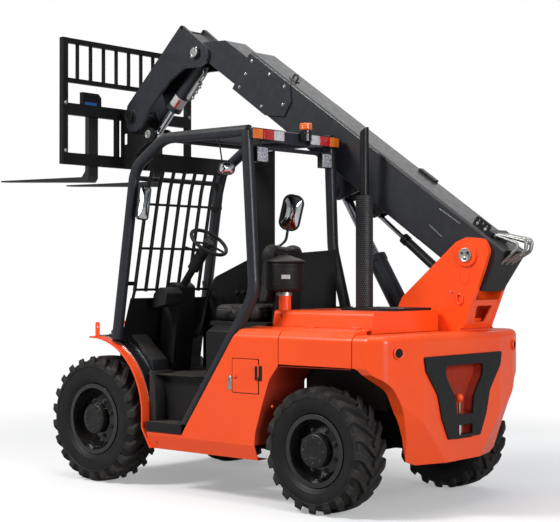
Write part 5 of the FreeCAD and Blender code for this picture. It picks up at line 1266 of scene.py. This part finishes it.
# How far left the cluster's inner and outer ends are, and the work lamp's right and left sides.
LAMPS = (("left", 0.455, 0.770, 0.598, 0.708), ("right", 0.193, -0.118, -0.062, 0.048))
for side, y0, y1, w0, w1 in LAMPS:
    parts.append(lamp_housing(f"cluster_{side}", at(0.5215, y0, 2.328), at(0.556, y1, 2.402)))
    for i, colour in enumerate((CLEAR, RED, AMBER)):
        a, b = sorted(y0 + (y1 - y0) * (i + t) / 3.0 for t in (0.035, 0.975))
        lens_block(f"cluster_{side}_lens_{i}", at(0.5200, a, 2.3325), at(0.536, b, 2.3975), colour)
    parts.append(lamp_housing(f"work_lamp_{side}", at(0.5375, w0, 2.186), at(0.580, w1, 2.288), 0.004, 0.006))
    lens_block(f"work_lamp_{side}_glass", at(0.5362, w0 + 0.005, 2.191), at(0.549, w1 - 0.005, 2.283), LED)
    for i in range(5):
        y = w0 + 0.012 + 0.0175 * i
        parts.append(start_box(f"fin_{i}", at(0.580, y, 2.194), at(0.588, y + 0.005, 2.280)))
    mid = (w0 + w1) / 2
    arm = start_box("bracket_arm", at(0.557, mid - 0.009, 2.280), at(0.563, mid + 0.009, 2.340))
    parts.append(round_edges(arm, 0.001, 1))
centre = at(0.5217, 0.240, 0)
parts.append(start_round("beacon_foot", centre + UP * 2.350, centre + UP * 2.404, 0.0395, sides=32))
base = start_round("beacon_base", centre + UP * 2.4035, centre + UP * 2.424, 0.0420, sides=40)
parts.append(round_edges(base, 0.003))
parts.append(round_edges(start_box("beacon_bracket", at(0.487, 0.205, 2.398), at(0.562, 0.275, 2.4035)), 0.001, 1))
lamps = join_pieces(parts, "lamp_housings")
keep(lamps, "machine", "lamp_plastic", GLOSS_PLASTIC)
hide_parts("roof_lights")
dome = start_round("beacon_dome", centre + UP * 2.4245, centre + UP * 2.4695, 0.0418, sides=48)
inset(dome, UP, (0.010, -0.0005), (0.014, 0.0008))
round_edges(dome, 0.006, 5, 50)
keep(smooth(dome, 40), "machine", "lamp_plastic", BEACON)

# %% [markdown]
# ## Mirrors
#
# A mirror is a moulded housing with a soft outline and a crowned back. Its glass sits inside a
# raised rim. The right one is on a long bent stem from the fender, the left one on a short arm,
# and a small round one hangs inside the canopy.

# %% Housings and glass
def mirror_head(name, centre, face, half_wide, half_high, corner, thick=0.022, crown=0.005, lean=0.0, rim=0.008):
    """Modelled flat, looking up, then carried to its place: x is sideways, y is up."""
    piece = start_box(name, (-half_wide, -half_high, -thick), (half_wide, half_high, 0))
    round_corners(piece, UP, corner, 9)
    inset(piece, DOWN, (0.014, 0.006))
    inset(piece, UP, (rim, 0.0), (0.002, -0.004))
    round_edges(piece, 0.0015, 2, 40)
    edge = rim + 0.0015
    a, b = half_wide - edge, half_high - edge
    glass = start_box(f"{name}_glass", (-a, -b, -0.007), (a, b, -0.0030))
    round_corners(glass, UP, max(corner - edge, 0.002), 9)
    pick(glass, lambda middle, normal: normal.z > 0.9)
    bpy.ops.mesh.poke()
    bpy.ops.mesh.subdivide(number_cuts=5)
    for vertex in done(glass).data.vertices:
        x, y, z = vertex.co
        if z > -0.0031:
            vertex.co.z += crown * max(0.0, 1 - (x / a) ** 2) * max(0.0, 1 - (y / b) ** 2)
    face = Vector(face).normalized()
    up = (UP - face * face.dot(UP)).normalized()
    basis = Matrix((up.cross(face), up, face)).transposed().to_4x4()
    move = Matrix.Translation(Vector(centre)) @ basis @ Matrix.Rotation(-lean, 4, "Z")
    for each in (piece, glass):
        each.data.transform(move)
        smooth(each, 40)
    keep(glass, "machine", "bright_steel", MIRROR_GLASS)
    return piece


left_head = mirror_head("mirror_left_head", at(1.5320, 0.757, 1.955), (-0.97, 0.24, 0), 0.046, 0.120, 0.026,
                        0.020, 0.007, 0.12, 0.010)
right_head = mirror_head("mirror_right_head", at(1.597, -0.880, 1.945), (-0.77, 0.63, -0.10), 0.085, 0.144, 0.068,
                         0.020, 0.012, 0.20, 0.016)
stem = rigid_pipe("mirror_stem", [at(2.030, -0.650, 1.028), at(2.030, -0.650, 1.450), at(1.640, -0.860, 1.720),
                                  at(1.618, -0.868, 1.850)], 0.011, 0.10, 5)
arm = rigid_pipe("mirror_arm", [at(1.552, 0.745, 1.960), at(1.620, 0.742, 1.960), at(1.668, 0.742, 1.960)],
                 0.009, 0.03)
collar = start_round("mirror_collar", at(2.030, -0.650, 1.028), at(2.030, -0.650, 1.060), 0.018, sides=24)
mirrors = join_pieces([left_head, right_head, stem, arm, collar], "mirror_housings")
keep(mirrors, "machine", "black_plastic", GLOSS_PLASTIC)
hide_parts("mirrors")
inside = mirror_head("mirror_inside", at(0.885, 0.620, 2.165), (-0.90, 0.40, -0.18), 0.060, 0.043, 0.038,
                     0.018, 0.010)
hanger = rigid_pipe("mirror_inside_arm", [at(0.897, 0.615, 2.165), at(0.930, 0.620, 2.210), at(0.932, 0.650, 2.376)],
                    0.005, 0.03)
keep(join_pieces([inside, hanger], "mirror_inside"), "machine", "black_plastic", GLOSS_PLASTIC)
print("mirrors", [round(v, 3) for v in mirrors.dimensions])

# %% [markdown]
# ## Fenders
#
# Behind the orange rim of the front fender lie two rubber skins, each edged with a thin bright
# trim, and a folded black cover over the pedal box. Each one is a side view pulled sideways: the
# points of a filled circle are moved to the outline, and its face is extruded.

# %% Skins, trims and the folded cover
FENDER_X, FENDER_Z = 2.025, 0.507           # the fender's centre, in the machine's metres
ARC_STEPS = 26


def prism(name, outline, y0, y1):
    """A side view outline, as (x, z) in the machine's metres, pulled from y0 to y1."""
    deselect()
    bpy.ops.mesh.primitive_circle_add(vertices=len(outline), radius=1, fill_type="NGON")
    piece = named(name)
    for vertex, (x, z) in zip(piece.data.vertices, outline):
        vertex.co = at(x, y0, z)
    pick(piece, lambda middle, normal: True)
    extrude((0, y1 - y0, 0))
    face_outward()
    return done(piece)


def arc_strip(name, y0, y1, inner, outer, first, last):
    """A strip round the fender's centre; angles in degrees, 0 behind and 90 on top."""
    angles = [radians(first + (last - first) * i / ARC_STEPS) for i in range(ARC_STEPS + 1)]
    ring = [(outer, a) for a in angles] + [(inner, a) for a in reversed(angles)]
    return prism(name, [(FENDER_X - r * cos(a), FENDER_Z + r * sin(a)) for r, a in ring], y0, y1)


for side, s in SIDES:
    for which, y0, y1, radius in (("outer", 0.650, 0.732, 0.5275), ("inner", 0.505, 0.645, 0.5325)):
        skin = arc_strip(f"fender_skin_{which}_{side}", s * y0, s * y1, 0.5195, radius, -6, 89)
        keep(smooth(round_edges(skin, 0.001, 2, 50), 40), "machine", "hose_rubber", SKIN_RUBBER)
    for i, y in enumerate((0.646, 0.7325)):
        trim = arc_strip(f"fender_trim_{side}_{i}", s * y, s * (y + 0.004), 0.5196, 0.5340 - 0.0055 * i,
                         14 - 4 * i, 88)
        keep(smooth(trim, 40), "machine", "bright_steel", ZINC)
COVERS = (("pedal_cover", 0.478, 0.630, 0.004, [(2.011, 1.066), (1.822, 1.057), (1.588, 0.869), (1.560, 0.738),
                                                (1.585, 0.738), (1.660, 0.880), (1.830, 0.985), (2.011, 1.020)]),
          ("pedal_cover_lower", 0.478, 0.640, 0.003, [(1.560, 0.742), (1.572, 0.742), (1.595, 0.480),
                                                      (1.500, 0.480), (1.496, 0.500), (1.512, 0.640)]),
          ("pedal_cover_post", 0.520, 0.735, 0.003, [(1.505, 0.470), (1.440, 0.470), (1.450, 0.700),
                                                     (1.492, 0.800), (1.505, 0.800)]))
for name, y0, y1, soft, outline in COVERS:
    cover = round_edges(prism(name, outline, y0, y1), soft)
    keep(smooth(cover), "machine", "charcoal_paint", COVER_BLACK)
for i, (x, z) in enumerate(((1.615, 0.868), (1.800, 1.018), (1.980, 1.035))):
    head = dished_disc(f"cover_screw_{i}", at(x + 0.02, 0.6300, z), LEFT, 0.006, 0.003, 0.4, 0.0015, 14)
    keep(head, "machine", "bright_steel", HUB_STEEL)

# %% [markdown]
# ## Side panel and hood
#
# The fuel door closes with a rounded plated catch and turns on a black hinge. The hood carries
# the air cleaner: an orange neck, a band clamp, a black bowl with a lid, all one solid in the
# model, so its faces are sorted by height.

# %% Catch, hinge and air cleaner
catch = slot_plate("door_catch", Vector((0, 0, 0)), 0.047, 0.0155, 0.006)
inset(catch, UP, (0.0025, 0.0015))
catch.data.transform(place_at(at(0.691, 0.8010, 0.768), LEFT))
keep(smooth(catch, 40), "machine", "bright_steel", ZINC)
key = start_round("door_catch_lock", at(0.695, 0.8025, 0.792), at(0.695, 0.8055, 0.792), 0.0055, sides=20)
keep(key, "machine", "bright_steel", HUB_STEEL)
hinge_parts = [round_edges(start_box("hinge_leaf", at(0.416, 0.8005, 0.795), at(0.4375, 0.8050, 0.888)), 0.001, 1)]
for i in range(3):
    z = 0.7955 + 0.031 * i
    barrel = start_round("hinge_barrel", at(0.4375, 0.8035, z), at(0.4375, 0.8035, z + 0.029), 0.0038, sides=16)
    hinge_parts.append(barrel)
keep(smooth(join_pieces(hinge_parts, "door_hinge"), 40), "machine", "black_paint", BLACK)
leaf = round_edges(start_box("door_hinge_leaf", at(0.449, 0.8104, 0.797), at(0.466, 0.8128, 0.886)), 0.0008, 1)
keep(leaf, "fuel_door", "black_paint", BLACK)

CLEANER = at(0.448, 0.540, 0)


def repaint_cleaner(material, within, bottom, top):
    """Repaints the hood's faces that are this near the cleaner's axis and between two heights."""
    repaint("engine_hood", material, lambda middle, normal: bottom <= middle.z < top
            and hypot(middle.x - CLEANER.x, middle.y - CLEANER.y) < within)


repaint_cleaner(ZINC, 0.075, 1.3265, 1.3495)
repaint_cleaner(BOWL, 0.115, 1.3495, 1.5345)
repaint_cleaner(LID, 0.15, 1.5345, 2.0)
lid_knob = dished_disc("cleaner_knob", CLEANER + UP * 1.589, UP, 0.020, 0.010, 0.3, 0.003, 24)
keep(lid_knob, "machine", "black_plastic", LID)
bowl = start_round("cleaner_bowl", CLEANER + UP * 1.368, CLEANER + UP * 1.5355, 0.123, sides=72)
inset(bowl, DOWN, (0.020, 0.012))
keep(smooth(round_edges(bowl, 0.006, 4, 40), 40), "machine", "black_plastic", BOWL)
hoops = [ring_at("bowl_hoop", CLEANER + UP * z, UP, 0.1232, 0.0022) for z in (1.400, 1.5155)]
keep(join_pieces(hoops, "cleaner_hoops"), "machine", "black_plastic", BOWL)
tag = start_round("cleaner_label", CLEANER + UP * 1.436, CLEANER + UP * 1.462, 0.1237, sides=96)
cut_away(tag, lambda middle, normal: not (normal.x < -0.35 and 0.55 < normal.y < 0.86 and abs(normal.z) < 0.5))
modify(tag, "SOLIDIFY", thickness=0.0006, offset=-1)
keep(smooth(tag), "machine", "black_plastic", SILVER_LABEL)
screw = start_round("clamp_screw", CLEANER + Vector((-0.030, 0.052, 1.338)),
                    CLEANER + Vector((0.020, 0.060, 1.338)), 0.005, sides=12)
keep(screw, "machine", "bright_steel", ZINC)

# %% Panel screws, step mat and small fittings
repaint("cab_floor", MAT_RUBBER, lambda middle, normal: normal.z > 0.9)
screws = [(at(x, 0.7995, z), LEFT) for x, z in ((0.330, 0.640), (1.380, 0.345))]
bolt_up("panel_screws", "machine", screws, 0.010, ORANGE, "orange_paint")
# Painted shade: each hood slot is a thin near-black plate on the hood, standing for the shade inside the slot.
for i, x in enumerate((0.500, 0.365)):
    mark = slot_plate(f"hood_slot_{i}", Vector((0, 0, 0)), 0.0125, 0.0045, 0.002)
    mark.data.transform(place_at(at(x, 0.6722, 1.205), LEFT))
    keep(mark, "machine", "black_paint", GAP_SHADE)
fittings = [(on_boom(2.430 + 0.030 * i, 0.1005, -0.085 + 0.022 * (i % 3)), (0.0, 1, 0)) for i in range(5)]
bolt_up("head_fittings", "inner_boom", fittings, 0.013, ZINC)
tab = start_box("fender_tab", at(2.004, 0.742, 1.027), at(2.046, 0.747, 1.126))
round_corners(tab, LEFT, 0.012, 4, lambda middle: middle.z > 1.1)
drill(tab, at(2.025, 0.72, 1.092), at(2.025, 0.77, 1.092), 0.0085, 20)
keep(smooth(tab), "machine", "orange_paint", ORANGE)

# %% [markdown]
# ## Exhaust
#
# The lower part of the stack has a shield of perforated sheet. The holes are too many to cut, so
# the material draws them: the angle round the pipe and the height give rows of round dots, each
# row moved on by half a step; the dots are lighter grey than the dark sheet, and let in by the bump.

# %% Perforated shield
def make_perforated(name, centre, radius, pitch=0.016):
    material, nodes, shader, where = start_material(name)
    x, y, z = nodes.add("SeparateXYZ", {0: where}).outputs
    angle = nodes.math("ARCTAN2", nodes.math("SUBTRACT", y, centre.y), nodes.math("SUBTRACT", x, centre.x))
    height = nodes.math("DIVIDE", z, pitch * 0.87)
    odd = nodes.times(nodes.math("MODULO", nodes.math("FLOOR", height), 2.0), 0.5)
    across = nodes.plus(nodes.plus(nodes.times(angle, radius / pitch), odd), 50.0)
    u, v = (nodes.math("SUBTRACT", nodes.math("FRACT", part), 0.5) for part in (across, height))
    away = nodes.math("SQRT", nodes.plus(nodes.times(u, u), nodes.times(v, v)))
    sheet = nodes.span(away, 0.27, 0.34)
    dirt = nodes.group("dust", Amount=0.3, Up=0.3, Low=0.1)["Mask"]
    metal = nodes.mix(nodes.times(dirt, 0.4), rgb(15, 16, 17), DUST)
    nodes.feed(shader, {"Base Color": nodes.mix(sheet, rgb(74, 76, 79), metal),
                        "Roughness": nodes.clouds(where, (40.0, 4.0, 0.6), 0.3, 0.7, 0.38, 0.6),
                        "Normal": nodes.bump(0.0015, sheet), "Specular IOR Level": 0.3})
    return material


STACK = at(0.250, -0.045, 0)
PERFORATED = make_perforated("perforated_sheet", STACK, 0.058)
repaint("exhaust_stack", PERFORATED, lambda middle, normal: middle.z < 1.985 and abs(normal.z) < 0.5
        and hypot(middle.x - STACK.x, middle.y - STACK.y) > 0.045)

# %% [markdown]
# ## Seat
#
# The seat is foam under black vinyl, so its cushion and back are simulated. Each starts as a
# box, a little smaller than its place, with its edges bevelled. A voxel remesh gives it an even
# skin, and a cloth with pressure inside swells it. No point may go further than a set distance,
# so it stays in its place. Piping and sewn channels are pressed in afterwards.

# %% Swell a pad
SWELL_LIMIT, SWELL_PRESSURE, SWELL_FRAMES = 0.024, 4.0, 20


def swell(piece, keep_in):
    """Remesh, then cloth with pressure; each point's way is capped and kept in a box."""
    modify(piece, "REMESH", mode="VOXEL", voxel_size=0.006)
    start = [vertex.co.copy() for vertex in piece.data.vertices]
    only(piece)
    cloth = piece.modifiers.new("cloth", "CLOTH")
    cloth.settings.quality = 5
    cloth.settings.mass = 0.3
    cloth.settings.tension_stiffness = cloth.settings.compression_stiffness = 12
    cloth.settings.shear_stiffness = 5
    cloth.settings.bending_stiffness = 0.6
    cloth.settings.use_pressure = True
    cloth.settings.uniform_pressure_force = SWELL_PRESSURE
    cloth.settings.effector_weights.gravity = 0.0
    cloth.collision_settings.use_self_collision = False
    scene = bpy.context.scene
    for frame in range(1, SWELL_FRAMES + 1):
        scene.frame_set(frame)
        bpy.context.view_layer.update()
    swollen = piece.evaluated_get(bpy.context.evaluated_depsgraph_get())
    ends = [vertex.co.copy() for vertex in swollen.data.vertices]
    piece.modifiers.clear()
    scene.frame_set(1)
    lo, hi = keep_in
    for vertex, before, after in zip(piece.data.vertices, start, ends):
        way = after - before
        if way.length > SWELL_LIMIT:
            way *= SWELL_LIMIT / way.length
        point = before + way
        vertex.co = [min(max(p, a), b) for p, a, b in zip(point, lo, hi)]
    piece.data.update()
    return smooth(piece, 60)


def crown(piece, centre, across, along, out, half_a, half_b, height):
    """Lifts the middle and pulls the sides in between the corners, as sewn covers are."""
    for vertex in piece.data.vertices:
        away = vertex.co - centre
        a, b, c = away.dot(across) / half_a, away.dot(along) / half_b, away.dot(out)
        if c > 0:
            vertex.co += out * height * max(0.0, 1 - a * a) * max(0.0, 1 - b * b)
        vertex.co -= across * a * half_a * 0.035 * max(0.0, 1 - b * b)
        vertex.co -= along * b * half_b * 0.025 * max(0.0, 1 - a * a)
    piece.data.update()


def press(piece, depth_rule):
    """Moves every point along its own normal by what the rule gives for its place."""
    moves = [vertex.normal * depth_rule(vertex.co, vertex.normal) for vertex in piece.data.vertices]
    for vertex, move in zip(piece.data.vertices, moves):
        vertex.co -= move
    piece.data.update()


def groove(distance, half=0.006, depth=0.005):
    return depth * exp(-(distance / half) ** 2)


def channels(out, up, inner, places):
    """Two long seams and the short ones between them; out and up are measured from the middle."""
    depth = groove(abs(out) - inner)
    if abs(out) < inner:
        depth += sum(groove(up - place, 0.005, 0.004) for place in places)
    return depth


def finish_pad(pad, node):
    """The pad takes the place of the CAD node, as soft padding."""
    keep(smooth(pad, 60), "machine", "seat_vinyl", VINYL)
    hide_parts(node)


# %% Seat cushion
lo, hi = low("seat_cushion"), high("seat_cushion")
mid, size = (lo + hi) / 2, hi - lo
ROOM = Vector((0.012, 0.012, 0.010))         # left for the pad to swell into
pad = start_box("seat_pad", lo + ROOM, hi - ROOM)
round_edges(pad, 0.030, 5, 40)
modify(pad, "REMESH", mode="VOXEL", voxel_size=0.009)
crown(pad, mid, FORWARD, LEFT, UP, size.x / 2, size.y / 2, 0.004)
swell(pad, (lo + Vector((0.001, 0.001, 0.0004)), hi - Vector((0.001, 0.001, 0.0005))))
modify(pad, "SUBSURF", levels=1, render_levels=1)


def cushion_seams(point, normal):
    piping = groove(point.z - (hi.z - 0.030), 0.004, 0.003) if abs(normal.z) < 0.8 else 0.0
    if normal.z > 0.3:
        piping += channels(point.y - mid.y, point.x - mid.x, size.y * 0.27, (-0.16, -0.05, 0.06, 0.17))
    return piping


press(pad, cushion_seams)
finish_pad(pad, "seat_cushion")

# %% Seat back
LEAN = radians(-5)
lo, hi = low("seat_backrest"), high("seat_backrest")
mid_b = (lo + hi) / 2
thick, wide, tall = 0.088, hi.y - lo.y, (hi.z - lo.z) / cos(LEAN) - 0.010
reach = Vector((thick, wide, tall)) / 2
half = reach - Vector((0.008, 0.012, 0.010))
back = start_box("seat_back_pad", mid_b - half, mid_b + half)
round_corners(back, FORWARD, 0.085, 7, lambda middle: middle.z > mid_b.z)
round_edges(back, 0.024, 5, 40)
modify(back, "REMESH", mode="VOXEL", voxel_size=0.009)
crown(back, mid_b, LEFT, UP, FORWARD, wide / 2, tall / 2, 0.004)
reach -= Vector((0, 0.001, 0.001))
swell(back, (mid_b - reach, mid_b + reach))
modify(back, "SUBSURF", levels=1, render_levels=1)


def back_seams(point, normal):
    out, up = point.y - mid_b.y, point.z - mid_b.z
    depth = groove(point.x - (mid_b.x - 0.012), 0.004, 0.003) if abs(normal.x) < 0.8 else 0.0
    if normal.x > 0.3 and up < tall * 0.30:
        depth += channels(out, up, wide * 0.27, (-0.15, -0.06, 0.03, 0.12))
    if normal.x < -0.3 and up < tall * 0.36:
        depth += groove(abs(out) - wide * 0.38, 0.004, 0.0025)
    return depth


press(back, back_seams)
back.data.transform(turn_about(mid_b, LEFT, LEAN))
finish_pad(back, "seat_backrest")
print("seat", [round(v, 3) for v in pad.dimensions], [round(v, 3) for v in back.dimensions])
for side, s in SIDES:
    y = mid_b.y + s * 0.085
    piece = start_box(f"seat_hinge_{side}", (lo.x + 0.030, y - 0.022, lo.z - 0.055),
                      (lo.x + 0.050, y + 0.022, lo.z + 0.040))
    keep(round_edges(piece), "machine", "black_paint", BLACK)
